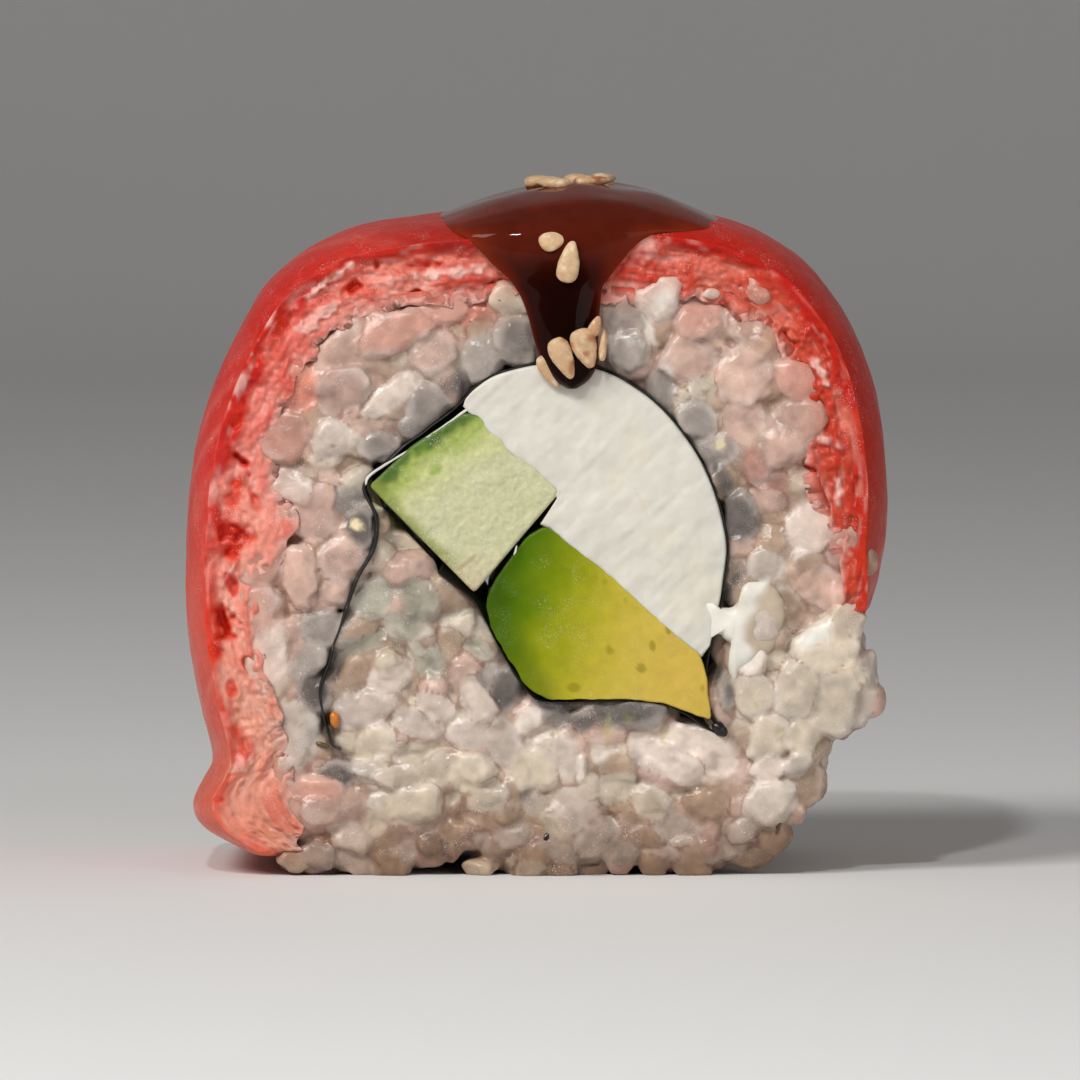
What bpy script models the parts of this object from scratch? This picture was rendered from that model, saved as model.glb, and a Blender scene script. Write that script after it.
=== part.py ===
"""One cut piece of an uramaki roll, standing on its rice with a cut face to the front.

A slice of raw fish is laid over a ring of rice. The ring holds a sheet of nori, rolled so that its
outer end reaches down past its inner end, and the nori holds cream cheese, a cucumber baton and
a piece of avocado. A glaze with sesame runs from the top down the front face.

Outlines are drawn in the plane of the cut, as (x, z) in millimetres: x to the right, z up from the
surface that the piece stands on. The roll's own axis is Y, and the front face looks along -Y.
"""

import itertools
import math

import bmesh
import bpy
import numpy as np
from mathutils import Matrix, Vector

MM = 0.001
SEED = 6

DEPTH = 28.0
HALF = DEPTH / 2
GAP = 0.32
NORI_THICK = 0.5
# The fish's outer skin falls in by SHOULDER at the cut faces, along a curve of this power
SHOULDER = 1.7
SHOULDER_POWER = 5

# Fish slice, from its lower left end over the top to its right end: outer x, z, inner x, z
FISH_KNOTS = [
    (-21.4, 2.1, -17.9, 2.3), (-23.9, 3.6, -18.0, 4.6), (-24.6, 5.3, -18.4, 7.2), (-23.3, 8.2, -19.0, 9.5),
    (-24.1, 12.0, -19.5, 12.6), (-25.0, 17.0, -20.5, 17.4), (-25.2, 21.0, -20.3, 21.2),
    (-25.1, 25.0, -18.3, 25.2), (-24.8, 28.6, -19.2, 28.5), (-24.0, 32.6, -19.8, 31.8),
    (-22.2, 37.4, -18.2, 35.8), (-19.2, 42.6, -15.6, 39.6), (-14.4, 45.9, -11.7, 41.6),
    (-8.0, 47.2, -7.2, 42.3), (0.0, 47.8, -0.2, 42.9), (8.0, 47.8, 7.7, 42.4), (14.0, 46.8, 12.2, 42.6),
    (19.0, 44.2, 16.3, 40.6), (22.6, 39.6, 18.8, 37.4), (24.5, 34.2, 20.3, 33.2), (25.2, 29.0, 20.3, 28.8),
    (25.1, 24.6, 22.1, 24.4), (24.6, 21.6, 22.9, 21.4), (24.0, 19.5, 23.2, 19.4),
]
FISH_STATIONS = 58
FISH_SKIN_Y = (-13.7, -12.4, -8.5, 0.0, 8.5, 12.4, 13.7)
FISH_UNDER_Y = (13.5, 0.0, -13.5)
FISH_FACE_SHARES = (0.22, 0.5, 0.78)
CRAG_MEAN, CRAG_SWING, CRAG_DEEPEST, CRAG_CELL = 0.5, 1.1, 1.5, 1.7

# Bare rice, from the fish's right end down the right side and back under the piece
RICE_KNOTS = [
    (23.2, 17.9), (23.9, 15.4), (23.4, 12.8), (21.8, 10.3), (20.6, 7.4), (18.6, 4.4),
    (15.6, 2.0), (12.4, 0.5), (9.6, 0.2), (6.0, 1.4), (3.0, 0.5), (0.0, 0.0), (-2.0, 0.4),
    (-4.2, 2.0), (-6.8, 2.2), (-9.6, 0.6), (-12.6, 0.0), (-15.6, 0.5), (-17.4, 1.6),
]
# The underside is cut level here, which leaves three flat feet
STANDS_AT = 0.45
FOOT_RISE = 0.9

# Nori, from its outer end up the left side, over the top, round and back under the filling
NORI_KNOTS = [
    (-13.0, 9.4), (-14.3, 9.7), (-14.9, 11.0), (-15.4, 13.6), (-14.7, 16.0), (-13.8, 18.8),
    (-12.9, 21.4), (-11.6, 23.9), (-11.4, 26.2), (-12.5, 28.5), (-11.6, 30.5), (-9.2, 32.5),
    (-6.2, 34.7), (-2.4, 36.7), (1.6, 37.2), (5.6, 36.3), (9.2, 33.7), (12.1, 29.6), (13.6, 24.8),
    (13.4, 21.2), (12.8, 18.2), (12.6, 15.2), (12.9, 12.8), (13.9, 11.0), (13.5, 10.2), (12.3, 10.6),
    (10.4, 11.7), (8.2, 12.7), (4.6, 13.0), (0.6, 12.8), (-1.2, 14.2), (-2.9, 17.0),
    (-4.2, 19.3), (-5.6, 20.7), (-7.0, 22.2),
]
NORI_HALF_DEPTH = HALF - 0.35
NORI_WAVE, NORI_WAVE_CELL = 0.22, 2.3
# Where the cucumber's lower edge meets the flap, and where the cheese starts and ends along the nori
FLAP_TOP = (-11.4, 26.0)
CHEESE_FROM = (-5.7, 35.0)
CHEESE_TO = (12.7, 17.4)

CHEESE_INNER = [
    (11.6, 17.2), (8.5, 19.8), (5.1, 22.8), (1.5, 25.8), (0.7, 26.0),
    (2.1, 27.9), (-3.9, 33.8), (-5.3, 33.9),
]
CUCUMBER_CORNERS = [(-11.7, 28.3), (-8.9, 31.0), (-5.3, 33.3), (-4.3, 33.3), (1.6, 27.9), (-4.5, 20.9)]
CUCUMBER_ROUND = 0.35
AVOCADO_KNOTS = [
    (0.9, 25.2), (4.8, 22.3), (8.2, 19.3), (11.5, 16.4), (11.9, 14.6), (12.0, 13.2),
    (12.6, 11.9), (11.0, 12.6), (9.4, 13.3), (7.2, 13.8), (3.6, 13.9), (0.9, 13.8),
    (-0.2, 14.8), (-1.9, 17.3), (-2.9, 18.6), (-3.2, 20.2), (-2.5, 21.5), (-1.7, 22.8),
    (-0.6, 24.3),
]
AVOCADO_ROUND = 0.5

# Glaze on the top, from the back to the front shoulder: y, left x, right x, thickness
GLAZE_TOP = [
    (10.6, 2.4, 5.0, 0.3), (9.4, -2.6, 8.6, 0.9), (5.0, -5.8, 11.8, 1.3), (-1.0, -6.8, 13.0, 1.35),
    (-7.0, -6.7, 13.0, 1.3), (-11.0, -6.2, 12.3, 1.1), (-12.7, -5.6, 11.6, 0.95), (-13.75, -4.7, 10.6, 0.85),
]
# Glaze down the front face: z, left x, right x, thickness
GLAZE_FACE = [
    (44.6, -3.2, 8.2, 0.8), (43.0, -1.9, 6.1, 0.85), (41.6, -0.8, 4.7, 0.9), (40.0, 0.0, 4.7, 0.95),
    (38.0, 0.8, 4.7, 1.1), (36.6, 1.2, 4.4, 1.1), (35.4, 2.2, 3.7, 0.4),
]
GLAZE_ACROSS = 11
GLAZE_RIM = 0.25
SEED_LONG, SEED_WIDE, SEED_THICK = 1.45, 0.9, 0.5
SEED_SITS = 1.1
# Sesame on the face: x, z, turn of the long axis from X in degrees
FACE_SEEDS = [(1.4, 45.4, 25), (2.5, 43.6, 75), (2.1, 37.6, 112), (3.5, 38.6, -62), (4.0, 40.4, 70)]
# Sesame on the top: x, y, turn from X in degrees
TOP_SEEDS = [(1.4, -6.5, 20), (4.2, -3.6, 160), (-0.4, -3.4, 70), (7.4, 0.6, 35), (2.4, 3.0, 110), (5.4, 6.2, 10)]

GRAIN_LONG = 3.5
GRAIN_WIDE = 1.45
GRAIN_SIDES = 5
GRAIN_RINGS = 3
CORE_INSET = 1.15
CORE_HALF = HALF - 1.8
FACE_LIMIT = HALF - 0.02
GRAIN_TILTS = (0.05, 0.2, 0.35, 0.6)
# Least distance between the middle lines of two grains, and how many are thrown, in turn
FACE_THROWS = [(1.9, 5000), (1.35, 3600)]
SIDE_SPACING, SIDE_THROWS = 2.0, 5200


def resample(points, count, closed=False):
    """Count points spaced evenly by length along a polyline."""
    points = np.asarray(points, float)
    if closed:
        points = np.vstack([points, points[:1]])
    steps = np.linalg.norm(np.diff(points[:, :2], axis=0), axis=1)
    run = np.concatenate([[0.0], np.cumsum(steps)])
    want = np.linspace(0, run[-1], count + 1)[:-1] if closed else np.linspace(0, run[-1], count)
    return np.stack([np.interp(want, run, column) for column in points.T], axis=1)


def through(knots, steps):
    """A Catmull-Rom curve through the knots, with that many steps from each knot to the next."""
    knots = np.asarray(knots, float)
    knots = np.vstack([2 * knots[0] - knots[1], knots, 2 * knots[-1] - knots[-2]])
    t = np.linspace(0, 1, steps + 1)[:-1, None]
    pieces = [
        0.5 * (2 * start + (end - before) * t
               + (2 * before - 5 * start + 4 * end - after) * t**2
               + (3 * start - before - 3 * end + after) * t**3)
        for before, start, end, after in zip(knots, knots[1:], knots[2:], knots[3:])
    ]
    return np.vstack(pieces + [knots[-2:-1]])


def smooth_curve(knots, count):
    """Count points, evenly spaced, along a smooth curve through the knots."""
    return resample(through(knots, 16), count)


def left_normals(points):
    """Unit normals to the left of the way a plane curve runs, which is outwards on a clockwise one."""
    along = np.gradient(points, axis=0)
    along = along / np.linalg.norm(along, axis=1, keepdims=True)
    return np.stack([-along[:, 1], along[:, 0]], axis=1)


def offset(points, distance):
    """The curve moved to its left by a distance, a number or one for each point."""
    distance = np.broadcast_to(np.asarray(distance, float), (len(points),))
    return points + left_normals(points) * distance[:, None]


def nearest(points, target):
    """Index of the curve point nearest to a target."""
    return int(np.argmin(np.linalg.norm(points - np.asarray(target), axis=1)))


def lattice_noise(points, cell):
    """Noise from -1 to 1: random values at the corners of cubes of that size, blended smoothly."""
    scaled = np.asarray(points, float) / cell
    base = np.floor(scaled).astype(np.int64)
    part = scaled - base
    part = part * part * (3 - 2 * part)
    total = np.zeros(scaled.shape[:-1])
    for corner in itertools.product((0, 1), repeat=3):
        spot = base + corner
        mixed = spot[..., 0] * 73856093 ^ spot[..., 1] * 19349663 ^ spot[..., 2] * 83492791
        mixed = (mixed ^ (mixed >> 13)) * 1274126177 & 0x7FFFFFFF
        weight = np.prod(np.where(corner, part, 1 - part), axis=-1)
        total += weight * (mixed / 0x3FFFFFFF - 1)
    return total


def material(name, colour, roughness):
    made = bpy.data.materials.new(name)
    made.use_nodes = True
    shader = made.node_tree.nodes["Principled BSDF"]
    shader.inputs["Base Color"].default_value = (*colour, 1.0)
    shader.inputs["Roughness"].default_value = roughness
    shader.inputs["Metallic"].default_value = 0.0
    return made


def add_object(name, mesh, skin):
    mesh.materials.append(skin)
    obj = bpy.data.objects.new(name, mesh)
    bpy.context.scene.collection.objects.link(obj)
    return obj


def mesh_of(name, points, faces):
    """A mesh from points in millimetres, its faces made to point outwards."""
    mesh = bpy.data.meshes.new(name)
    mesh.from_pydata((np.asarray(points, float) * MM).tolist(), [], faces)
    work = bmesh.new()
    work.from_mesh(mesh)
    bmesh.ops.recalc_face_normals(work, faces=work.faces)
    work.to_mesh(mesh)
    work.free()
    return mesh


def prism(name, outline, half_depth):
    """A plane outline carried along Y from -half_depth to half_depth, with flat ends."""
    outline = np.asarray(outline, float)
    count = len(outline)
    ends = [
        np.column_stack([outline[:, 0], np.full(count, y), outline[:, 1]])
        for y in (-half_depth, half_depth)
    ]
    faces = [(i, (i + 1) % count, count + (i + 1) % count, count + i) for i in range(count)]
    faces += [tuple(range(count)), tuple(range(count, 2 * count))]
    return mesh_of(name, np.vstack(ends), faces)


def loft(name, rings):
    """Closed rings of equal length joined in order, with a fan on a middle point at each end."""
    count, around = rings.shape[:2]
    points = rings.reshape(-1, 3)
    ends = [rings[0].mean(axis=0), rings[-1].mean(axis=0)]
    faces = [
        (a * around + i, a * around + (i + 1) % around, (a + 1) * around + (i + 1) % around, (a + 1) * around + i)
        for a in range(count - 1)
        for i in range(around)
    ]
    for tip, ring in ((len(points), 0), (len(points) + 1, count - 1)):
        faces += [(ring * around + i, ring * around + (i + 1) % around, tip) for i in range(around)]
    return mesh_of(name, np.vstack([points, ends]), faces)


def fish_curves(count):
    """Outer and inner line of the fish at points spaced along it."""
    curve = smooth_curve(FISH_KNOTS, count)
    return curve[:, :2], curve[:, 2:]


def shoulder_drop(y):
    """How far the outer skin falls in towards the cut faces, from nothing at mid depth."""
    return SHOULDER * np.abs(np.asarray(y, float) / HALF) ** SHOULDER_POWER


def nori_curve():
    """The middle line of the sheet. What touches the nori starts from these same points."""
    return through(NORI_KNOTS, 2)


def rice_outline(inset):
    """The rice seen along Y: under the fish with a gap, and along its bare side moved in by inset.

    Where the bare side comes down to the surface it keeps its place, so that it has feet to stand on.
    """
    under_fish = offset(fish_curves(90)[1], -GAP)
    bare = smooth_curve(RICE_KNOTS, 70)
    lifted = np.clip((bare[:, 1] - STANDS_AT) / FOOT_RISE, 0, 1)
    return np.vstack([under_fish, offset(bare, -inset * lifted)])


def filling_hole():
    """Outline of everything that the rice closes round: the nori on all sides and what it holds.

    From the nori's inner end it follows the cucumber's lower edge up to the flap of the outer end.
    """
    path = nori_curve()
    clear = NORI_THICK / 2 + GAP
    rice_side = offset(path, clear)
    flap = offset(path, -clear)[: nearest(path, FLAP_TOP) + 1]
    corner, foot = np.array(CUCUMBER_CORNERS[0]), np.array(CUCUMBER_CORNERS[-1])
    edge = (corner - foot) / np.linalg.norm(corner - foot)
    below = np.array([-edge[1], edge[0]]) * GAP
    past_end = rice_side[-1] + edge * GAP
    meets = foot + edge * ((past_end - foot) @ edge) + below
    apex = foot + edge * ((flap[-1] - foot) @ edge - 0.3) + below
    return np.vstack([rice_side, past_end, meets, apex, flap[::-1]])


def rounded(corners, radius, steps=3):
    """A polygon whose corners are cut to arcs of about that radius."""
    corners = np.asarray(corners, float)
    made = []
    for before, corner, after in zip(np.roll(corners, 1, axis=0), corners, np.roll(corners, -1, axis=0)):
        start = corner + (before - corner) / np.linalg.norm(before - corner) * radius
        end = corner + (after - corner) / np.linalg.norm(after - corner) * radius
        for t in np.linspace(0, 1, steps):
            made.append((1 - t) ** 2 * start + 2 * t * (1 - t) * corner + t**2 * end)
    return np.array(made)


def build_fish(skin):
    """A thick strip over the rice: a round-shouldered outer skin and two flaky cut faces."""
    skin_y = np.array(FISH_SKIN_Y)
    rings = []
    for number, (spot, under) in enumerate(zip(*fish_curves(FISH_STATIONS))):
        depth_in = np.linalg.norm(under - spot)
        inward = (under - spot) / depth_in
        drop = np.minimum(shoulder_drop(skin_y), 0.6 * depth_in)
        rows = list(zip(drop, skin_y))
        for side, shares in ((1, FISH_FACE_SHARES), (-1, FISH_FACE_SHARES[::-1])):
            cut = drop[0] + (depth_in - drop[0]) * np.array(shares)
            where = np.column_stack([np.full(3, number * 1.3), cut * 1.2, np.full(3, 9.0 * side)])
            crag = CRAG_MEAN + CRAG_SWING * lattice_noise(where, CRAG_CELL)
            rows += [(c, side * (HALF - k)) for c, k in zip(cut, np.clip(crag, 0, CRAG_DEEPEST))]
            if side == 1:
                rows += [(depth_in, y) for y in FISH_UNDER_Y]
        rings.append([(spot[0] + inward[0] * d, y, spot[1] + inward[1] * d) for d, y in rows])
    return add_object("fish", loft("fish", np.array(rings)), skin)


def build_nori(skin):
    """The rolled sheet: a strip of even thickness along its path, its cut edges a little uneven."""
    path = nori_curve()
    left, right = offset(path, NORI_THICK / 2), offset(path, -NORI_THICK / 2)
    wave = NORI_WAVE * lattice_noise(np.column_stack([path, np.zeros(len(path))]), NORI_WAVE_CELL)
    half = NORI_HALF_DEPTH
    rings = [
        [(a[0], -half - w, a[1]), (a[0], half - w, a[1]), (b[0], half - w, b[1]), (b[0], -half - w, b[1])]
        for a, b, w in zip(left, right, wave)
    ]
    return add_object("nori", loft("nori", np.array(rings)), skin)


def build_cheese(skin):
    """Cream cheese pressed against the inside of the nori and round the cucumber and avocado."""
    path = nori_curve()
    first, last = nearest(path, CHEESE_FROM), nearest(path, CHEESE_TO)
    inner_side = offset(path, -(NORI_THICK / 2 + GAP))[first : last + 1]
    outline = np.vstack([inner_side, CHEESE_INNER])
    return add_object("cream_cheese", prism("cream_cheese", outline, HALF), skin)


def build_cucumber(skin):
    """A baton cut from a cucumber's side, four flat faces and a slightly domed one."""
    return add_object("cucumber", prism("cucumber", rounded(CUCUMBER_CORNERS, CUCUMBER_ROUND), HALF), skin)


def build_avocado(skin):
    """A wedge of avocado, soft at its edges, with its lower corner squeezed to a point."""
    outline = resample(rounded(AVOCADO_KNOTS, AVOCADO_ROUND), 48, closed=True)
    return add_object("avocado", prism("avocado", outline, HALF), skin)


def inside(points, polygon):
    """Which points lie inside a closed polygon, by counting the edges to the right of each."""
    ends = np.roll(polygon, -1, axis=0)
    x, z = points[:, :1], points[:, 1:]
    crosses = (polygon[:, 1] > z) != (ends[:, 1] > z)
    rise = np.where(ends[:, 1] == polygon[:, 1], 1e-9, ends[:, 1] - polygon[:, 1])
    at = polygon[:, 0] + (z - polygon[:, 1]) / rise * (ends[:, 0] - polygon[:, 0])
    return (crosses & (x < at)).sum(axis=1) % 2 == 1


def reach(direction, axis):
    """Half the length that a grain lying along direction takes up along another axis."""
    return math.sqrt((GRAIN_LONG**2 - GRAIN_WIDE**2) * float(direction @ axis) ** 2 + GRAIN_WIDE**2)


def seen_from_front(centre, direction):
    """Points over a grain as seen along Y: three ovals, one in another, with sixteen points each."""
    flat = np.array([direction[0], direction[2]])
    length = np.linalg.norm(flat)
    along = flat / length if length > 1e-6 else np.array([1.0, 0.0])
    across = np.array([-along[1], along[0]])
    half = math.sqrt(GRAIN_WIDE**2 + (GRAIN_LONG**2 - GRAIN_WIDE**2) * length**2)
    turn = np.linspace(0, 2 * math.pi, 17)[:-1, None]
    oval = np.cos(turn) * along * half + np.sin(turn) * across * GRAIN_WIDE
    return np.array([centre[0], centre[2]]) + np.vstack([oval, oval * 0.66, oval * 0.33])


def grain_spots(rng):
    """Where grains lie and which way they point, by throwing them and keeping those that fit.

    A grain fits where it stays in the rice as seen along Y and clear of the grains before it.
    Face grains come first, then those of the bare right side and of the underside.
    """
    allowed, hole = rice_outline(0.0), filling_hole()
    bare = offset(smooth_curve(RICE_KNOTS, 200), -GRAIN_WIDE * 0.9)
    bare_out = left_normals(bare)
    low, high = allowed.min(axis=0), allowed.max(axis=0)
    depth_axis = np.array([0.0, 1.0, 0.0])
    lines, placed = [], []

    def try_grain(centre, direction, spacing):
        outline = seen_from_front(centre, direction)
        if not inside(outline, allowed).all() or inside(outline, hole).any():
            return
        line = centre + direction * np.linspace(-1, 1, 5)[:, None] * (GRAIN_LONG - GRAIN_WIDE)
        if lines:
            apart = np.linalg.norm(line[:, None] - np.vstack(lines)[None], axis=2)
            if apart.min() < spacing:
                return
        lines.append(line)
        placed.append((centre, direction))

    for spacing, throws in FACE_THROWS:
        for side in (-1, 1):
            for _ in range(throws):
                turn, tilt = rng.uniform(0, math.pi), rng.choice(GRAIN_TILTS)
                flat = math.cos(tilt)
                direction = np.array([math.cos(turn) * flat, math.sin(tilt), math.sin(turn) * flat])
                y = side * (FACE_LIMIT - reach(direction, depth_axis) - rng.uniform(0, 0.5))
                x, z = rng.uniform(low, high)
                try_grain(np.array([x, y, z]), direction, spacing)
    for _ in range(SIDE_THROWS):
        pick = rng.integers(len(bare))
        outward = bare_out[pick]
        turn = rng.uniform(0, math.pi)
        direction = np.array([math.cos(turn) * outward[1], math.sin(turn), -math.cos(turn) * outward[0]])
        room = HALF - 0.4 - reach(direction, depth_axis)
        spot = bare[pick] - outward * rng.uniform(0.0, 0.3)
        try_grain(np.array([spot[0], rng.uniform(-room, room), spot[1]]), direction, SIDE_SPACING)
    return placed


def grain_mesh(name):
    """One cooked grain: a plump spindle along X with blunt ends."""
    points = [(-GRAIN_LONG, 0.0, 0.0)]
    for k in range(GRAIN_RINGS):
        angle = math.pi * (k + 1) / (GRAIN_RINGS + 1)
        along = -GRAIN_LONG * math.copysign(abs(math.cos(angle)) ** 0.8, math.cos(angle))
        radius = GRAIN_WIDE * math.sin(angle) ** 0.6
        for s in range(GRAIN_SIDES):
            turn = 2 * math.pi * (s + 0.5 * (k % 2)) / GRAIN_SIDES
            points.append((along, radius * math.cos(turn), radius * math.sin(turn)))
    points.append((GRAIN_LONG, 0.0, 0.0))
    last = len(points) - 1

    def ring(k, s):
        return 1 + k * GRAIN_SIDES + s % GRAIN_SIDES

    faces = [(0, ring(0, s + 1), ring(0, s)) for s in range(GRAIN_SIDES)]
    faces += [(last, ring(GRAIN_RINGS - 1, s), ring(GRAIN_RINGS - 1, s + 1)) for s in range(GRAIN_SIDES)]
    for k in range(GRAIN_RINGS - 1):
        faces += [
            (ring(k, s), ring(k, s + 1), ring(k + 1, s + 1), ring(k + 1, s)) for s in range(GRAIN_SIDES)
        ]
    return mesh_of(name, points, faces)


def apply_boolean(obj, operation, target):
    """Joins a collection to an object, or cuts an object from it, and removes what was used."""
    cut = obj.modifiers.new("join", "BOOLEAN")
    cut.operation = operation
    cut.solver = "MANIFOLD"
    if isinstance(target, bpy.types.Collection):
        cut.operand_type = "COLLECTION"
        cut.collection = target
        used = list(target.objects)
    else:
        cut.object = target
        used = [target]
    bpy.context.view_layer.update()
    evaluated = obj.evaluated_get(bpy.context.evaluated_depsgraph_get())
    made = bpy.data.meshes.new_from_object(evaluated)
    obj.modifiers.remove(cut)
    obj.data = made
    for thing in used:
        bpy.data.objects.remove(thing, do_unlink=True)
    if isinstance(target, bpy.types.Collection):
        bpy.data.collections.remove(target)


def keep_main_body(obj):
    """Drops every shell but the largest: crumbs that touch nothing, and hollows closed on all sides."""
    work = bmesh.new()
    work.from_mesh(obj.data)
    bmesh.ops.triangulate(work, faces=work.faces)
    waiting = set(work.faces)
    shells = []
    while waiting:
        shell = [waiting.pop()]
        for face in shell:
            for edge in face.edges:
                if len(edge.link_faces) == 2:
                    fresh = [other for other in edge.link_faces if other in waiting]
                    waiting.difference_update(fresh)
                    shell.extend(fresh)
        shells.append(shell)
    shells.sort(key=len)
    crumbs = [face for shell in shells[:-1] for face in shell]
    bmesh.ops.delete(work, geom=crumbs, context="FACES")
    work.to_mesh(obj.data)
    work.free()


def gather(name, items):
    """A collection of objects, one for each (mesh, matrix)."""
    group = bpy.data.collections.new(name)
    bpy.context.scene.collection.children.link(group)
    for mesh, matrix in items:
        obj = bpy.data.objects.new(name, mesh)
        obj.matrix_world = matrix
        group.objects.link(obj)
    return group


def frame_matrix(centre, long_axis, face_normal):
    """Rotation and place that lay X along long_axis and Z along face_normal, centre in millimetres."""
    x = Vector(long_axis).normalized()
    z = Vector(face_normal)
    z = (z - x * z.dot(x)).normalized()
    matrix = Matrix((x, z.cross(x), z)).transposed().to_4x4()
    matrix.translation = Vector(centre) * MM
    return matrix


def build_rice(skin):
    """A core with the grains that show fused on, its underside pressed flat where it stands."""
    core = prism("rice", resample(rice_outline(CORE_INSET), 120, closed=True), CORE_HALF)
    rice = add_object("rice", core, skin)
    hole = prism("hole", filling_hole(), DEPTH)
    apply_boolean(rice, "DIFFERENCE", add_object("hole", hole, skin))
    rng = np.random.default_rng(SEED)
    shape = grain_mesh("grain")
    items = []
    for centre, direction in grain_spots(rng):
        size = rng.uniform(0.92, 1.0)
        matrix = frame_matrix(centre, direction, (direction[2] + 0.1, 0.3, -direction[0]))
        items.append((shape, matrix @ Matrix.Diagonal((size, size, size, 1.0))))
    print(len(items), "grains")
    apply_boolean(rice, "UNION", gather("grains", items))
    reach_x = 2 * DEPTH
    floor = [(-reach_x, -DEPTH), (-reach_x, STANDS_AT), (reach_x, STANDS_AT), (reach_x, -DEPTH)]
    apply_boolean(rice, "DIFFERENCE", add_object("floor", prism("floor", floor, DEPTH), skin))
    keep_main_body(rice)
    return rice


def top_height(x):
    """Height of the fish's outer line over x, where it runs over the top."""
    outer = fish_curves(400)[0]
    top = outer[(np.abs(outer[:, 0]) < 18) & (outer[:, 1] > 40)]
    return np.interp(x, top[:, 0], top[:, 1])


def glaze_surface():
    """The glaze's underside and its outer side: one row of points for each station of its run.

    The run goes forwards over the top, round the front shoulder and down the face. Rows on the top
    follow the fish's outer line, and lower ones flatten out into straight rows.
    """
    crown = top_height((GLAZE_TOP[3][1] + GLAZE_TOP[3][2]) / 2)
    run = [(y, crown - shoulder_drop(y)) for y, *_ in GLAZE_TOP] + [(-HALF, z) for z, *_ in GLAZE_FACE]
    normals = -left_normals(np.array(run))
    across = np.linspace(-1, 1, GLAZE_ACROSS)
    swell = np.sqrt(1 - across**4)
    under, over = [], []
    for (y, z), normal, (_, left, right, thick) in zip(run, normals, GLAZE_TOP + GLAZE_FACE):
        x = (left + right) / 2 + across * (right - left) / 2
        follow = np.clip((z - 41.0) / 4.5, 0, 1)
        height = z + (top_height(x) - crown) * follow
        base = np.column_stack([x, np.full(GLAZE_ACROSS, y), height])
        outwards = np.array([0.0, normal[0], normal[1]])
        under.append(base + outwards * GAP)
        over.append(base + outwards * (GAP + GLAZE_RIM + thick * swell[:, None]))
    return np.array(under), np.array(over)


def build_glaze(skin):
    """The glaze: a pool on the top that thins to its rim and a tongue down the face, with sesame on it."""
    under, over = glaze_surface()
    glaze = add_object("glaze", loft("glaze", np.concatenate([under, over[:, ::-1]], axis=1)), skin)
    seed = grain_mesh("seed")
    shape = Matrix.Diagonal((SEED_LONG / GRAIN_LONG, SEED_WIDE / GRAIN_WIDE, SEED_THICK / GRAIN_WIDE, 1.0))
    items = []
    for x, z, turn in FACE_SEEDS:
        angle = math.radians(turn)
        place = (x, -(HALF + GAP + SEED_SITS), z)
        items.append((seed, frame_matrix(place, (math.cos(angle), 0, math.sin(angle)), (0, -1, 0)) @ shape))
    for x, y, turn in TOP_SEEDS:
        angle = math.radians(turn)
        z = float(top_height(x)) - shoulder_drop(y) + GAP + GLAZE_RIM + SEED_SITS
        items.append((seed, frame_matrix((x, y, z), (math.cos(angle), math.sin(angle), 0), (0, 0, 1)) @ shape))
    apply_boolean(glaze, "UNION", gather("seeds", items))
    keep_main_body(glaze)
    return glaze


def stand_on_origin(parts):
    """Moves the whole piece so that the middle of its box's underside is the origin."""
    points = np.vstack([np.array([vert.co for vert in part.data.vertices]) for part in parts])
    low, high = points.min(axis=0), points.max(axis=0)
    shift = Vector((-(low[0] + high[0]) / 2, -(low[1] + high[1]) / 2, -low[2]))
    print("size in mm:", (high - low) / MM, "moved by:", list(shift / MM))
    for part in parts:
        part.data.transform(Matrix.Translation(shift))


def main():
    for obj in list(bpy.data.objects):
        bpy.data.objects.remove(obj, do_unlink=True)
    parts = [
        build_fish(material("fish", (0.62, 0.11, 0.07), 0.3)),
        build_rice(material("rice", (0.60, 0.50, 0.43), 0.4)),
        build_nori(material("nori", (0.012, 0.012, 0.008), 0.5)),
        build_cheese(material("cream_cheese", (0.80, 0.77, 0.68), 0.45)),
        build_cucumber(material("cucumber", (0.55, 0.58, 0.30), 0.3)),
        build_avocado(material("avocado", (0.45, 0.42, 0.06), 0.35)),
        build_glaze(material("glaze", (0.05, 0.01, 0.004), 0.1)),
    ]
    for part in parts:
        if part.name in ("fish", "glaze"):
            part.data.shade_smooth()
    stand_on_origin(parts)


main()
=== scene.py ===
import itertools
import math

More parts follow.
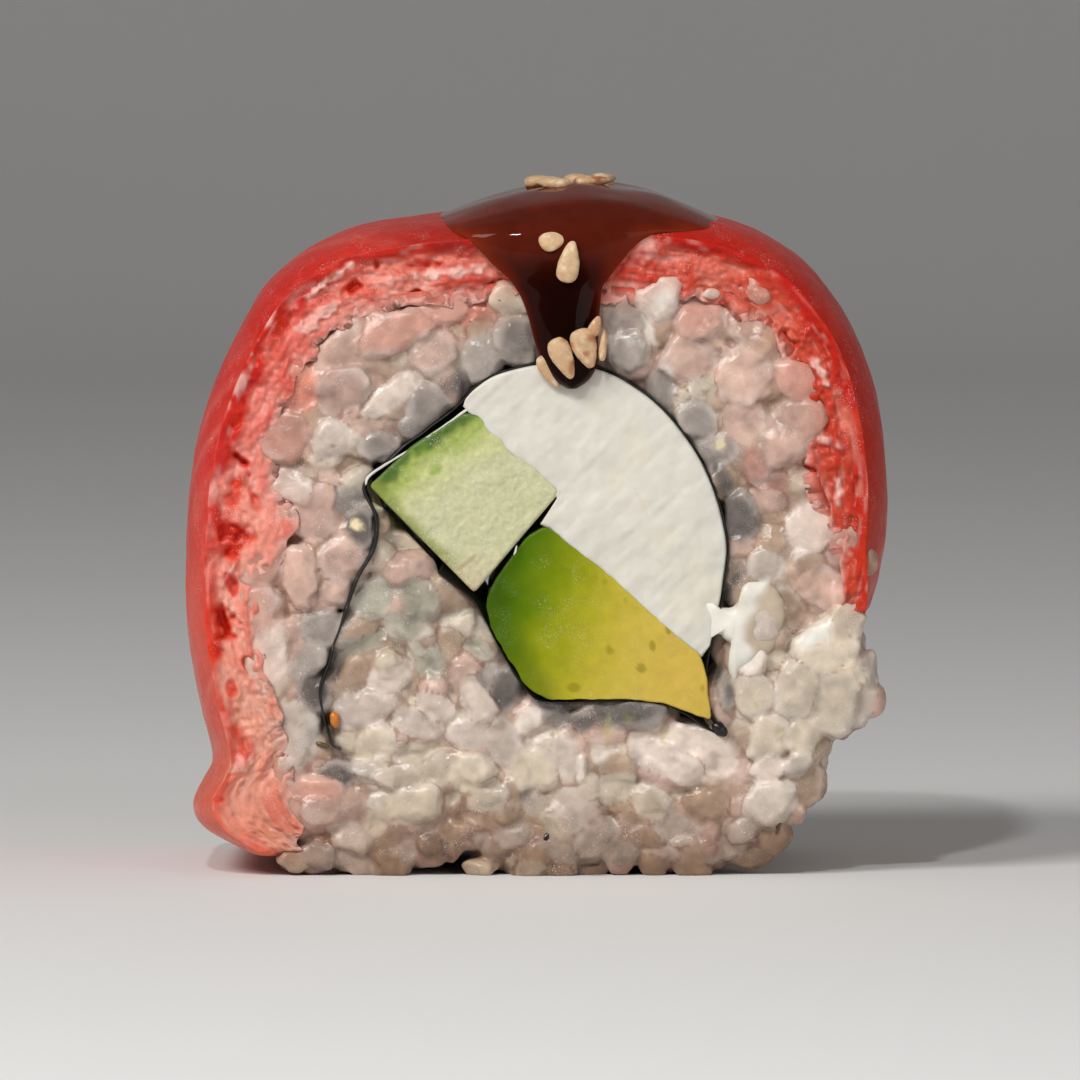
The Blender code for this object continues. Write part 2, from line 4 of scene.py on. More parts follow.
import bmesh
import bpy
import numpy as np
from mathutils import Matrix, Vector


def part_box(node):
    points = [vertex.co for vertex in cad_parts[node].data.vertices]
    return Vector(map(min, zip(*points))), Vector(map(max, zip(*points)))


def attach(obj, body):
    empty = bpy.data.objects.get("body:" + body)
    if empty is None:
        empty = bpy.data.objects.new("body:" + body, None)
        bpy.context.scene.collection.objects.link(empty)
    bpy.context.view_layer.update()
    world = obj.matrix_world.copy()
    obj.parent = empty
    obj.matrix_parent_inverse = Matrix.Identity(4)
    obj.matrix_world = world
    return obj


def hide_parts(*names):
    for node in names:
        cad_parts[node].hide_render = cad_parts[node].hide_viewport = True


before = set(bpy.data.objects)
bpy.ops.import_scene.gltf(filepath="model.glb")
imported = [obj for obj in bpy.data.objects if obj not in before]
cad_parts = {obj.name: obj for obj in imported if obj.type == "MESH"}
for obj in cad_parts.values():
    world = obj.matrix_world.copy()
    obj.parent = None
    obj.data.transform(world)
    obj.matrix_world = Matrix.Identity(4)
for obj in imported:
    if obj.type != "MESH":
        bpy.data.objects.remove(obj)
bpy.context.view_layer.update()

# %% [markdown]
# # One cut piece of uramaki
# The piece is rice rolled round nori, cucumber, avocado and cream cheese, with a slice of raw fish laid
# over it and a dark glaze that runs down the cut face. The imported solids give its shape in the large.
# Here each of them gets a finer surface that lies in the same place, worked out with numpy, and a finish
# made of nodes.
#
# Lengths below are in millimetres, in the drawing that the solids were made from: x to the right, z up,
# and the cut face at y = -14. The drawing was moved a little when the piece was stood on its origin, so
# that move is kept here.

# %% Drawing and frame
MM = 0.001
# Picture pixels to a millimetre, and the pixel where the drawing's x and z are nothing
PX = 14
PICTURE_X, PICTURE_Z = 536.0, 883.0
# The drawing's move to the part's frame, half the depth, and the drawing's height of the surface it stands on
SHIFT = np.array([-0.0171, 0.9226, -0.45])
HALF = 14.0
STANDS_AT = 0.45
low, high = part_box("cucumber")
print("drawing's middle along Y:", round((low.y + high.y) / 2 / MM, 3), "and the move says", SHIFT[1])


def drawn(px, py):
    """Place in the drawing of a point of the picture, where 14 px are 1 mm."""
    return np.array([(px - PICTURE_X) / PX, (PICTURE_Z - py) / PX])


def placed(rows):
    """Rows that start with px, py, half length and half width in the picture, with those in millimetres."""
    rows = np.array(rows, float)
    rows[:, 0] = (rows[:, 0] - PICTURE_X) / PX
    rows[:, 1] = (PICTURE_Z - rows[:, 1]) / PX
    rows[:, 2:4] /= PX
    return rows


def screen(red, green, blue):
    """A colour as a screen shows it, 0 to 255, as the linear light that a shader works in."""
    seen = np.array([red, green, blue], float) / 255
    return np.where(seen <= 0.04045, seen / 12.92, ((seen + 0.055) / 1.055) ** 2.4)


# %% [markdown]
# ## Camera, floor and light
# The picture was taken from straight in front of the cut face and a little above it, with a long lens, so
# the camera stands 90 cm away and 3 degrees up. The floor is one pale sheet that curves up behind the
# piece, so no edge shows. A large soft light from the upper left does most of the work, since the left of
# the fish is brighter than the right. A small light adds the pin-sharp glints of wet food, and a weak one
# fills the right.

# %% Camera
AWAY, SENSOR = 0.90, 36.0
SEEN_PX = 1077
camera_data = bpy.data.cameras.new("camera")
camera = bpy.data.objects.new("camera", camera_data)
bpy.context.scene.collection.objects.link(camera)
aim = (np.array([0.2857, -HALF, 24.5]) + SHIFT) * MM
rise = math.radians(3)
camera.location = aim + AWAY * np.array([0.0, -math.cos(rise), math.sin(rise)])
camera.rotation_euler = (math.pi / 2 - rise, 0.0, 0.0)
camera_data.sensor_width = SENSOR
camera_data.lens = SENSOR * AWAY / (SEEN_PX / PX * MM)
camera_data.clip_start, camera_data.clip_end = 0.01, 10.0
bpy.context.scene.camera = camera
bpy.context.scene.view_settings.view_transform = "Standard"
print("lens:", round(camera_data.lens, 1), "mm")


# %% Helpers for meshes
def grid_faces(rows, columns, around=False):
    """Quads of a grid kept row after row, as corner numbers; around joins its last column to its first."""
    across = np.arange(columns if around else columns - 1)
    row, column = np.meshgrid(np.arange(rows - 1), across, indexing="ij")
    here, beside = row * columns + column, row * columns + (column + 1) % columns
    return np.stack([here, beside, beside + columns, here + columns], axis=-1).reshape(-1, 4)


def ring_faces(rings):
    """The quads of a run of closed rings."""
    return grid_faces(*rings.shape[:2], around=True)


def many_faces(count, rows, columns):
    """The quads of many runs of closed rings of one size, kept one after the other."""
    one = grid_faces(rows, columns, around=True)
    return (one[None] + (np.arange(count) * rows * columns)[:, None, None]).reshape(-1, 4)


def capped(rings):
    """Rings with one more at each end, shrunk to its middle, so the ends are closed."""
    ends = [np.broadcast_to(rings[k].mean(axis=0), rings[k].shape) for k in (0, -1)]
    return np.concatenate([ends[0][None], rings, ends[1][None]])


def lifted(flat, y):
    """Points (x, y, z) from points (x, z) of the drawing and their y."""
    return np.stack(np.broadcast_arrays(flat[..., 0], y, flat[..., 1]), axis=-1)


def piece(name, points, faces, skin, slot=None, tint=None, outward=True):
    """A smooth mesh from points in the drawing, with a colour for each point where tint is given."""
    mesh = bpy.data.meshes.new(name)
    places = (np.asarray(points).reshape(-1, 3) + SHIFT) * MM
    mesh.from_pydata(places.tolist(), [], np.asarray(faces).tolist())
    if tint is not None:
        set_tint(mesh, tint)
    if outward:
        work = bmesh.new()
        work.from_mesh(mesh)
        bmesh.ops.remove_doubles(work, verts=work.verts, dist=1e-7)
        bmesh.ops.recalc_face_normals(work, faces=work.faces)
        work.to_mesh(mesh)
        work.free()
    mesh.polygons.foreach_set("use_smooth", np.ones(len(mesh.polygons), bool))
    mesh.materials.append(skin)
    obj = bpy.data.objects.new(name, mesh)
    bpy.context.scene.collection.objects.link(obj)
    if slot:
        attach(obj, "root")
    print(name, "has", sum(len(face.vertices) - 2 for face in mesh.polygons), "triangles")
    return obj


def set_tint(mesh, tint):
    """Keeps a linear colour for each point of the mesh, for its material to read."""
    layer = mesh.attributes.new("tint", "FLOAT_COLOR", "POINT")
    full = np.ones((len(mesh.vertices), 4), np.float32)
    full[:, :3] = np.asarray(tint).reshape(-1, 3)
    layer.data.foreach_set("color", full.ravel())


# %% Helpers for curves and noise
def resample(points, count, closed=False):
    """Count points spaced evenly by length, in the plane of the first two columns, along a polyline."""
    points = np.asarray(points, float)
    if closed:
        points = np.vstack([points, points[:1]])
    run = np.concatenate([[0.0], np.cumsum(np.linalg.norm(np.diff(points[:, :2], axis=0), axis=1))])
    want = np.linspace(0, run[-1], count + 1)[:-1] if closed else np.linspace(0, run[-1], count)
    return np.stack([np.interp(want, run, column) for column in points.T], axis=1)


def through(knots, steps):
    """A Catmull-Rom curve through the knots, with that many steps from each knot to the next."""
    knots = np.asarray(knots, float)
    knots = np.vstack([2 * knots[0] - knots[1], knots, 2 * knots[-1] - knots[-2]])
    t = np.linspace(0, 1, steps + 1)[:-1, None]
    parts = [
        0.5 * (2 * b + (c - a) * t + (2 * a - 5 * b + 4 * c - d) * t**2 + (3 * b - a - 3 * c + d) * t**3)
        for a, b, c, d in zip(knots, knots[1:], knots[2:], knots[3:])
    ]
    return np.vstack(parts + [knots[-2:-1]])


def left_normals(points):
    """Unit normals to the left of the way a plane curve runs."""
    along = np.gradient(points, axis=0)
    along = along / np.linalg.norm(along, axis=1, keepdims=True)
    return np.stack([-along[:, 1], along[:, 0]], axis=1)


def noise(points, cell):
    """Noise from -1 to 1: random values at the corners of boxes of that size, blended between them."""
    scaled = np.asarray(points, float) / cell
    base = np.floor(scaled).astype(np.int64)
    part = scaled - base
    part = part * part * (3 - 2 * part)
    total = np.zeros(scaled.shape[:-1])
    for corner in itertools.product((0, 1), repeat=3):
        spot = base + corner
        mixed = spot[..., 0] * 73856093 ^ spot[..., 1] * 19349663 ^ spot[..., 2] * 83492791
        mixed = (mixed ^ (mixed >> 13)) * 1274126177 & 0x7FFFFFFF
        total += np.prod(np.where(corner, part, 1 - part), axis=-1) * (mixed / 0x3FFFFFFF - 1)
    return total


def ease(value, start, end):
    """0 below start, 1 above end, and a soft S between them."""
    t = np.clip((np.asarray(value, float) - start) / (end - start), 0, 1)
    return t * t * (3 - 2 * t)


def blend(first, second, share):
    """Colours between first and second, by a share for each point."""
    share = np.asarray(share)[..., None]
    return first * (1 - share) + second * share


def along_colours(share, stops):
    """Colours along a run, from rows of (share of the run, red, green, blue) as a screen shows them."""
    stops = np.array([(row[0], *screen(*row[1:])) for row in stops])
    return np.stack([np.interp(share, stops[:, 0], stops[:, k]) for k in (1, 2, 3)], axis=-1)


def spots(points, rows, ragged=0.25, soft=0.45, cell=0.7):
    """How far each point lies in the ovals of a table, 0 to 1, by x and z alone.

    A row is middle x, middle z, half length, half width, turn in degrees and strength. The level is
    1 - sqrt((along / length)^2 + (across / width)^2), made ragged by noise and eased in over soft.
    """
    x, z = points[..., 0], points[..., 2]
    torn = ragged * noise(points, cell)
    level = np.zeros(x.shape)
    for mx, mz, length, width, turn, strength in rows:
        c, s = math.cos(math.radians(turn)), math.sin(math.radians(turn))
        along, across = ((x - mx) * c + (z - mz) * s) / length, ((z - mz) * c - (x - mx) * s) / width
        here = ease(1 - np.sqrt(along**2 + across**2) + torn, 0, soft) * strength
        level = np.maximum(level, here)
    return level


# %% [markdown]
# ## Finishes
# Wet food is never one flat colour. Each piece keeps a colour for every point, worked out with its shape,
# and the finish reads that attribute; in places that colour holds painted shade and painted highlights. The
# nodes add what is finer than the mesh: mottling, a grain of tiny bumps that breaks the gloss into sparkles,
# white specks painted in as the smallest wet glints, and light that goes a millimetre or two under the
# surface before it comes back out.


# %% One way to make a finish
def wire(tree, kind, inputs=None, **settings):
    """Adds a node, sets its settings, and fills its inputs with numbers or with other nodes' outputs."""
    made = tree.nodes.new(kind)
    for key, value in settings.items():
        setattr(made, key, value)
    for key, value in (inputs or {}).items():
        if isinstance(value, bpy.types.NodeSocket):
            tree.links.new(value, made.inputs[key])
        else:
            made.inputs[key].default_value = value
    return made


def clouds(tree, place, scale, detail):
    """Noise from 0 to 1 over the object's own coordinates."""
    made = wire(tree, "ShaderNodeTexNoise", {"Vector": place, "Scale": scale, "Detail": detail})
    return made.outputs["Fac"]


def ranged(tree, value, start, end, low, high):
    """A value carried from the range start to end over to the range low to high."""
    ends = {"Value": value, "From Min": start, "From Max": end, "To Min": low, "To Max": high}
    return wire(tree, "ShaderNodeMapRange", ends).outputs["Result"]


def food(name, rough, bump, bump_cell, mottle=0.12, mottle_cell=1.0, under=0.35, deep=(1.0, 0.4, 0.3),
         specks_and_glints=(0.0, 0.2), **shine):
    """A wet, slightly see-through finish on the attribute tint.

    rough is (least, most) roughness, bump the depth of the tiny bumps in mm and bump_cell their size, mottle
    how much lighter or darker the colour gets over mottle_cell, under how much light goes under the surface
    and deep how far in mm for red, green and blue. specks_and_glints is how white the smallest specks get,
    painted highlights that stand for wet glints, and their size. shine sets further sockets of the shader.
    """
    made = bpy.data.materials.new(name)
    made.use_nodes = True
    tree = made.node_tree
    shader = tree.nodes["Principled BSDF"]
    place = wire(tree, "ShaderNodeTexCoord").outputs["Object"]
    tint = wire(tree, "ShaderNodeAttribute", attribute_name="tint").outputs["Color"]
    shade = ranged(tree, clouds(tree, place, 1 / MM / mottle_cell, 4.0), 0.25, 0.75, 1 - mottle, 1 + mottle)
    colour = wire(tree, "ShaderNodeVectorMath", {0: tint, 1: shade}, operation="MULTIPLY").outputs["Vector"]
    grain = clouds(tree, place, 1 / MM / bump_cell, 3.0)
    bumps = wire(tree, "ShaderNodeBump", {"Height": grain, "Strength": 1.0, "Distance": bump * MM})
    patch = clouds(tree, place, 600.0, 2.0)
    gloss = ranged(tree, patch, 0.3, 0.7, *rough)
    # Painted highlights: the smallest specks, in patches, are mixed toward white to stand for wet glints.
    painted_glints = ranged(tree, clouds(tree, place, 1 / MM / specks_and_glints[1], 2.0), 0.58, 0.75, 0.0, specks_and_glints[0])
    group = ranged(tree, patch, 0.5, 0.64, 0.0, 1.0)
    level = wire(tree, "ShaderNodeMath", {0: painted_glints, 1: group}, operation="MULTIPLY").outputs["Value"]
    mixed = wire(tree, "ShaderNodeMix", {0: level, 6: colour, 7: (0.9, 0.9, 0.88, 1)}, data_type="RGBA")
    tree.links.new(mixed.outputs[2], shader.inputs["Base Color"])
    tree.links.new(bumps.outputs["Normal"], shader.inputs["Normal"])
    tree.links.new(gloss, shader.inputs["Roughness"])
    shader.inputs["Subsurface Weight"].default_value = under
    shader.inputs["Subsurface Radius"].default_value = deep
    shader.inputs["Subsurface Scale"].default_value = MM
    for key, value in shine.items():
        shader.inputs[key.replace("_", " ")].default_value = value
    return made


# %% Floor and lights
def stage_floor():
    """The floor's profile, level and then up a quarter circle, carried along X."""
    turn = np.linspace(0, math.pi / 2, 24)
    run = np.concatenate([[-3.0], 0.9 + 0.5 * np.sin(turn), [1.4]])
    height = np.concatenate([[0.0], 0.5 - 0.5 * np.cos(turn), [2.5]])
    x = np.linspace(-3, 3, 9)
    points = np.stack(np.broadcast_arrays(x[None], run[:, None], height[:, None]), axis=-1)
    paint = bpy.data.materials.new("pale_floor")
    paint.use_nodes = True
    tree = paint.node_tree
    shader = tree.nodes["Principled BSDF"]
    place = wire(tree, "ShaderNodeTexCoord").outputs["Object"]
    cloud = wire(tree, "ShaderNodeTexNoise", {"Vector": place, "Scale": 6.0})
    ramp = wire(tree, "ShaderNodeMapRange", {"Value": cloud.outputs["Fac"], "To Min": 0.76, "To Max": 0.80})
    tree.links.new(ramp.outputs["Result"], shader.inputs["Base Color"])
    shader.inputs["Roughness"].default_value = 0.7
    floor = piece("floor", points / MM - SHIFT, grid_faces(*points.shape[:2]), paint, outward=False)
    return floor


def soft_light(name, place, size, power, tone=(1.0, 1.0, 1.0)):
    """A square light at a place in metres, turned to the piece's middle."""
    data = bpy.data.lights.new(name, "AREA")
    data.size, data.energy, data.color = size, power, tone
    lamp = bpy.data.objects.new(name, data)
    lamp.location = place
    lamp.rotation_euler = (Vector(place) - Vector((0, 0, 0.025))).to_track_quat("Z", "Y").to_euler()
    bpy.context.scene.collection.objects.link(lamp)
    return lamp


stage_floor()
soft_light("key", (-0.40, -0.44, 0.52), 0.26, 3.6, (1.0, 0.98, 0.95))
soft_light("fill", (0.45, -0.50, 0.20), 0.40, 0.8)
soft_light("glint", (-0.10, -0.40, 0.38), 0.028, 0.75)
world = bpy.data.worlds.new("room")
world.use_nodes = True
world.node_tree.nodes["Background"].inputs["Color"].default_value = (1.0, 0.96, 0.92, 1.0)
world.node_tree.nodes["Background"].inputs["Strength"].default_value = 0.17
bpy.context.scene.world = world

# %% [markdown]
# ## The fish
# The slice is a thick strip laid over the rice. Its outside was the smooth side of the fillet and falls
# in towards the cut faces, and the faces are flaky: ragged pale fringes, deep red pits between the
# flakes. One closed section is carried along the slice. Its rows go round: skin, back face, underside and
# front face, so the front face can have the finest rows, and the flakes are the distance by which each of
# its points stands back from the plane of the cut.

# %% Lines of the fish
FISH_KNOTS = [
    (-21.4, 2.1, -17.9, 2.3), (-23.9, 3.6, -18.0, 4.6), (-24.6, 5.3, -18.4, 7.2),
    (-23.3, 8.2, -19.0, 9.5), (-24.1, 12.0, -19.5, 12.6), (-25.0, 17.0, -20.5, 17.4),
    (-25.2, 21.0, -20.3, 21.2), (-25.1, 25.0, -18.3, 25.2), (-24.8, 28.6, -19.2, 28.5),
    (-24.0, 32.6, -19.8, 31.8), (-22.2, 37.4, -18.2, 35.8), (-19.2, 42.6, -15.6, 39.6),
    (-14.4, 45.9, -11.7, 41.6), (-8.0, 47.2, -7.2, 42.3), (0.0, 47.8, -0.2, 42.9), (8.0, 47.8, 7.7, 42.4),
    (14.0, 46.8, 12.2, 42.6), (19.0, 44.2, 16.3, 40.6), (22.6, 39.6, 18.8, 37.4),
    (24.5, 34.2, 20.3, 33.2), (25.2, 29.0, 20.3, 28.8), (25.1, 24.6, 22.1, 24.4),
    (24.6, 21.6, 22.9, 21.4), (24.0, 19.5, 23.2, 19.4),
]
SHOULDER, SHOULDER_POWER = 1.7, 5
# Sections along the slice, and about how far apart they lie in mm
SECTIONS, SECTION_STEP = 780, 0.163
fish_line = resample(through(FISH_KNOTS, 16), SECTIONS)
fish_outer, fish_inner = fish_line[:, :2], fish_line[:, 2:]


def shoulder_drop(y):
    """How far the outer skin falls in towards the cut faces, from nothing at mid depth."""
    return SHOULDER * np.abs(np.asarray(y, float) / HALF) ** SHOULDER_POWER


# %% Where the flakes part and where they stand up
# px, py, half length, half width in the picture, turn in degrees, strength
PITS = placed([
    (243, 462, 18, 7, -50, 0.9), (235, 492, 13, 20, 0, 0.6), (234, 534, 22, 11, -8, 1.0),
    (230, 553, 15, 11, 30, 0.8), (224, 622, 17, 20, 5, 1.0), (214, 651, 14, 9, -20, 0.7),
    (248, 664, 6, 9, 20, 0.8), (377, 267, 6, 10, 0, 0.6), (353, 288, 18, 7, 42, 0.8),
    (283, 323, 10, 18, -25, 0.6), (335, 271, 22, 8, 35, 0.6), (425, 266, 20, 6, 5, 0.6),
    (415, 294, 14, 6, 0, 0.6), (501, 287, 20, 8, -8, 0.8), (726, 304, 18, 11, -10, 0.6),
    (829, 320, 8, 14, -40, 0.5), (788, 342, 8, 24, 35, 0.6), (808, 474, 9, 24, 25, 0.9),
    (818, 415, 6, 32, -8, 0.7), (212, 800, 20, 4, -5, 0.5), (205, 560, 10, 8, 60, 0.5),
    (262, 330, 7, 12, -20, 0.5), (232, 585, 8, 14, 20, 0.6), (232, 690, 6, 12, 10, 0.5),
    (255, 500, 6, 14, 20, 0.5), (222, 735, 5, 12, 15, 0.4), (258, 360, 8, 12, -20, 0.5),
    (238, 420, 8, 14, -15, 0.5),
])
FRINGES = placed([
    (330, 281, 36, 6, 37, 1.0), (271, 318, 20, 7, 62, 1.0), (452, 274, 46, 8, 4, 0.9),
    (318, 318, 40, 9, 34, 0.8), (238, 385, 30, 8, 60, 0.9), (820, 372, 28, 6, -58, 1.0),
    (838, 492, 18, 6, 90, 0.9), (843, 545, 18, 12, 80, 0.6), (198, 652, 12, 7, 90, 0.7),
    (237, 765, 15, 11, 20, 0.6), (190, 531, 9, 6, 100, 1.0), (232, 570, 17, 2.5, 60, 1.0),
    (650, 248, 22, 13, 30, 0.5), (212, 493, 9, 18, -20, 0.4), (228, 846, 24, 9, -12, 0.5),
    (262, 575, 8, 14, -20, 0.5), (828, 440, 8, 18, 70, 0.8), (216, 720, 9, 20, 90, 0.45),
    (395, 280, 26, 7, 12, 0.6),
])
# Colours of the skin side and of the flesh along the slice, from its left tip over the top to its right tip;
# the darker reds over the top are partly painted shade.
RIM_TONES = [
    (0.0, 213, 106, 84), (0.1, 206, 78, 60), (0.18, 209, 66, 52), (0.27, 202, 40, 32),
    (0.36, 188, 30, 22), (0.46, 195, 38, 26), (0.53, 160, 22, 12), (0.65, 180, 22, 8),
    (0.75, 186, 25, 11), (0.85, 180, 25, 9), (1.0, 182, 48, 26),
]
FLESH_TONES = [
    (0.0, 208, 134, 110), (0.1, 222, 154, 132), (0.18, 227, 150, 131), (0.27, 228, 140, 126),
    (0.36, 220, 112, 98), (0.46, 211, 104, 88), (0.6, 190, 68, 52), (0.75, 200, 80, 58),
    (0.85, 192, 64, 42), (1.0, 190, 68, 46),
]


def fish_face(spot, inward, depth_in, drop, shares, side):
    """One cut face: points at shares of the way in, and how far each stands back from the cut.

    The depth is flakes + fibres + pits - fringes, each a noise stretched along the slice or a table's ovals.
    """
    torn = 1.25 + 0.45 * noise(np.column_stack([spot, 0 * depth_in + side]), 1.1)
    cut = drop[:, None] + (depth_in + torn - drop)[:, None] * shares[None]
    flat = spot[:, None] + inward[:, None] * cut[..., None]
    run = np.arange(len(spot))[:, None] * SECTION_STEP + 0 * cut
    flakes = noise(np.stack([run / 2.2, cut / 0.9, 0 * cut + 7 * side], axis=-1), 1.0)
    fibres = noise(np.stack([run / 1.3, cut / 0.3, 0 * cut + 3 * side], axis=-1), 1.0)
    fine = noise(np.stack([run / 0.45, cut / 0.35, 0 * cut + 5 * side], axis=-1), 1.0)
    here = lifted(flat, 0.0)
    pit = spots(here, PITS, 0.45, 0.7, 0.5) if side < 0 else ease(flakes, 0.45, 0.8) * 0.5
    fringe = spots(here, FRINGES, 0.6, 0.7, 0.45) if side < 0 else ease(-flakes, 0.4, 0.7) * 0.7
    back = 0.42 + 0.30 * flakes + 0.13 * fibres + 0.16 * fine + 0.85 * pit - 0.32 * fringe
    back = 0.06 + (back + 0.1) * ease(shares + 0.10 * flakes, 0.0, 0.30)
    return lifted(flat, side * (HALF - np.clip(back, 0.0, 1.9))), pit, fringe, flakes, fibres


# %% The fish's surface
def build_fish():
    """Closed sections along the slice: skin, back face, underside, front face, with rounded tips."""
    spot, under = fish_outer, fish_inner
    depth_in = np.linalg.norm(under - spot, axis=1)
    inward = (under - spot) / depth_in[:, None]
    share = np.linspace(0, 1, len(spot))
    drop = np.minimum(SHOULDER * 0.9, 0.55 * depth_in)
    rim = along_colours(share, RIM_TONES)
    flesh = along_colours(share, FLESH_TONES)
    rows, tints = [], []
    skin_y = 13.75 * np.sin(np.linspace(-1, 1, 46) * math.pi / 2)
    for y in skin_y:
        place = lifted(spot, y)
        wave = 0.10 * noise(place, 5.0) + 0.05 * noise(place, 1.6)
        fall = np.minimum(shoulder_drop(y), 0.55 * depth_in) + wave
        rows.append(place + lifted(inward, 0.0) * fall[:, None])
        lines = ease(noise(np.column_stack([share * 60 + 0.5 * y, 0 * share, share * 3]), 1.0), 0.35, 0.8)
        tints.append(blend(rim, flesh, np.clip(0.06 + 0.22 * lines + 0.10 * noise(place, 2.4), 0, 1)))
    for side, shares in ((1, np.linspace(0.03, 0.97, 13)), (-1, np.linspace(0.985, 0.015, 48))):
        points, pit, fringe, flakes, fibres = fish_face(spot, inward, depth_in, drop, shares, side)
        patchy = noise(points + 50, 2.6)
        inner_share = ease(shares + 0.16 * patchy, 0.06, 0.38)
        colour = blend(rim[:, None], flesh[:, None], np.clip(inner_share + 0.3 * flakes + 0.2 * fibres, 0, 1))
        patch = 0.55 * ease(patchy + 0.5 * flakes, 0.1, 0.9) * inner_share
        colour = blend(colour, screen(232, 150, 132), patch)
        colour = blend(colour, screen(230, 168, 154), 0.8 * ease(shares + 0.2 * flakes, 0.66, 1.0))
        torn = np.clip(0.7 * fringe + 0.22 * ease(fibres, 0.1, 0.9), 0, 1)
        pale = blend(colour, screen(240, 200, 188), torn)
        red = blend(pale, screen(216, 52, 20), np.clip(1.3 * pit + 0.18 * ease(-flakes, 0.35, 0.9), 0, 1))
        # The middles of the deepest pits are a darker red, partly painted shade.
        red = blend(red, screen(176, 22, 6), ease(pit, 0.6, 1.0) * 0.8)
        rows.extend(np.moveaxis(points, 1, 0))
        tints.extend(np.moveaxis(red, 1, 0))
        if side == 1:
            for y in np.linspace(13.3, -13.3, 9):
                rows.append(lifted(under, y))
                tints.append(flesh)
    rings, tints = np.moveaxis(np.array(rows), 1, 0), np.moveaxis(np.array(tints), 1, 0)
    before, after = [], []
    for turn in np.radians([25, 50, 75, 90]):
        first, last = rings[0].mean(axis=0), rings[-1].mean(axis=0)
        down = rings[0].mean(axis=0) - rings[7].mean(axis=0)
        on = rings[-1].mean(axis=0) - rings[-8].mean(axis=0)
        down, on = down / np.linalg.norm(down), on / np.linalg.norm(on)
        before.insert(0, first + (rings[0] - first) * math.cos(turn) + down * 1.1 * math.sin(turn))
        after.append(last + (rings[-1] - last) * math.cos(turn) + on * 0.6 * math.sin(turn))
    rings = np.concatenate([before, rings, after])
    tints = np.concatenate([tints[:1]] * 4 + [tints] + [tints[-1:]] * 4)
    skin = food("raw_fish", (0.26, 0.5), 0.05, 0.3, mottle=0.14, mottle_cell=0.5, under=0.25,
                deep=(1.2, 0.3, 0.2), specks_and_glints=(0.5, 0.10), IOR=1.28)
    made = piece("fish_slice", rings, ring_faces(rings), skin, "fish", tints)
    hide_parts("fish")
    return made


build_fish()

# %% [markdown]
# ## Nori, cheese, cucumber and avocado
# The sheet of nori is a thin strip along its own path, and the cheese is what fills the space between the
# nori and the vegetables, so both are worked out as bands between two lines. The cucumber and the avocado
# are cut blocks: their outline shrinks to a middle point over the cut face, turns a soft edge, and runs
# back along the roll.

# %% Nori
NORI_KNOTS = [
    (-13.9, 9.5), (-14.45, 9.8), (-14.9, 11.0), (-15.4, 13.6), (-14.7, 16.0), (-13.8, 18.8),
    (-12.9, 21.4), (-11.6, 23.9), (-11.4, 26.2), (-12.25, 28.35), (-10.7, 30.0), (-8.9, 31.5),
    (-5.9, 33.75), (-4.4, 35.35), (-2.4, 36.5), (1.6, 37.2), (5.6, 36.3), (9.2, 33.7), (12.1, 29.6),
    (13.6, 24.8), (13.4, 21.2), (12.8, 18.2), (12.2, 15.3), (12.25, 12.9), (12.95, 11.3), (12.95, 10.65),
    (12.1, 11.1), (10.4, 12.2), (8.2, 12.9), (4.6, 13.0), (0.65, 12.95), (-0.8, 13.95), (-2.2, 16.1),
    (-3.45, 18.4), (-4.6, 20.3), (-7.0, 22.2),
]
nori_path = resample(through(NORI_KNOTS, 8), 620)


def build_nori():
    """A thin oval section along the path. Its thickness and its cut edges come and go a little along the way.

    Behind the cut its inner side reaches 0.5 mm further in, so no light comes through beside the filling.
    """
    out = left_normals(nori_path)
    flat = np.column_stack([nori_path, np.zeros(len(nori_path))])
    share = np.linspace(0, 1, len(nori_path))
    thick = np.interp(share, (0.0, 0.08, 0.17, 0.24, 0.3), (0.14, 0.18, 0.28, 0.26, 0.08))
    thick = thick + 0.04 * noise(flat, 0.9)
    wave = 0.20 * noise(flat, 1.7) + 0.10 * noise(flat + 9, 0.5)
    bend = 0.10 * noise(flat + 5, 1.1)
    around = np.linspace(0, 2 * math.pi, 29)[:-1]
    y = np.sign(np.cos(around)) * np.abs(np.cos(around)) ** 0.35 * 13.8
    side = np.sign(np.sin(around)) * np.abs(np.sin(around)) ** 0.6
    filling = 0.5 * (side < 0) * ease(13.5 - np.abs(y), 0.0, 0.8)
    off = side[None] * thick[:, None] + bend[:, None] * 0.7 - filling[None] * ease(share, 0.26, 0.3)[:, None]
    flat_points = nori_path[:, None] + out[:, None] * off[..., None]
    rings = capped(lifted(flat_points, y[None] + wave[:, None] * (y < 0)[None]))
    specks_and_glints = ease(noise(rings, 0.8), 0.1, 0.9)
    tint = blend(screen(18, 17, 14) + 0 * rings, screen(52, 50, 34), specks_and_glints * 0.5)
    skin = food("nori_sheet", (0.3, 0.55), 0.06, 0.35, mottle=0.3, mottle_cell=0.7, under=0.0)
    made = piece("nori_sheet", rings, ring_faces(rings), skin, "nori", tint)
    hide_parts("nori")
    return made


build_nori()

# %% Cream cheese
CHEESE_INNER = [
    (-5.2, 34.0), (-4.5, 33.25), (1.5, 27.45), (0.3, 25.6), (1.0, 25.2), (4.65, 22.2), (8.05, 19.2),
    (11.8, 16.1),
]


def nearest(points, target):
    """Index of the curve point nearest to a target."""
    return int(np.argmin(np.linalg.norm(points - np.asarray(target), axis=1)))


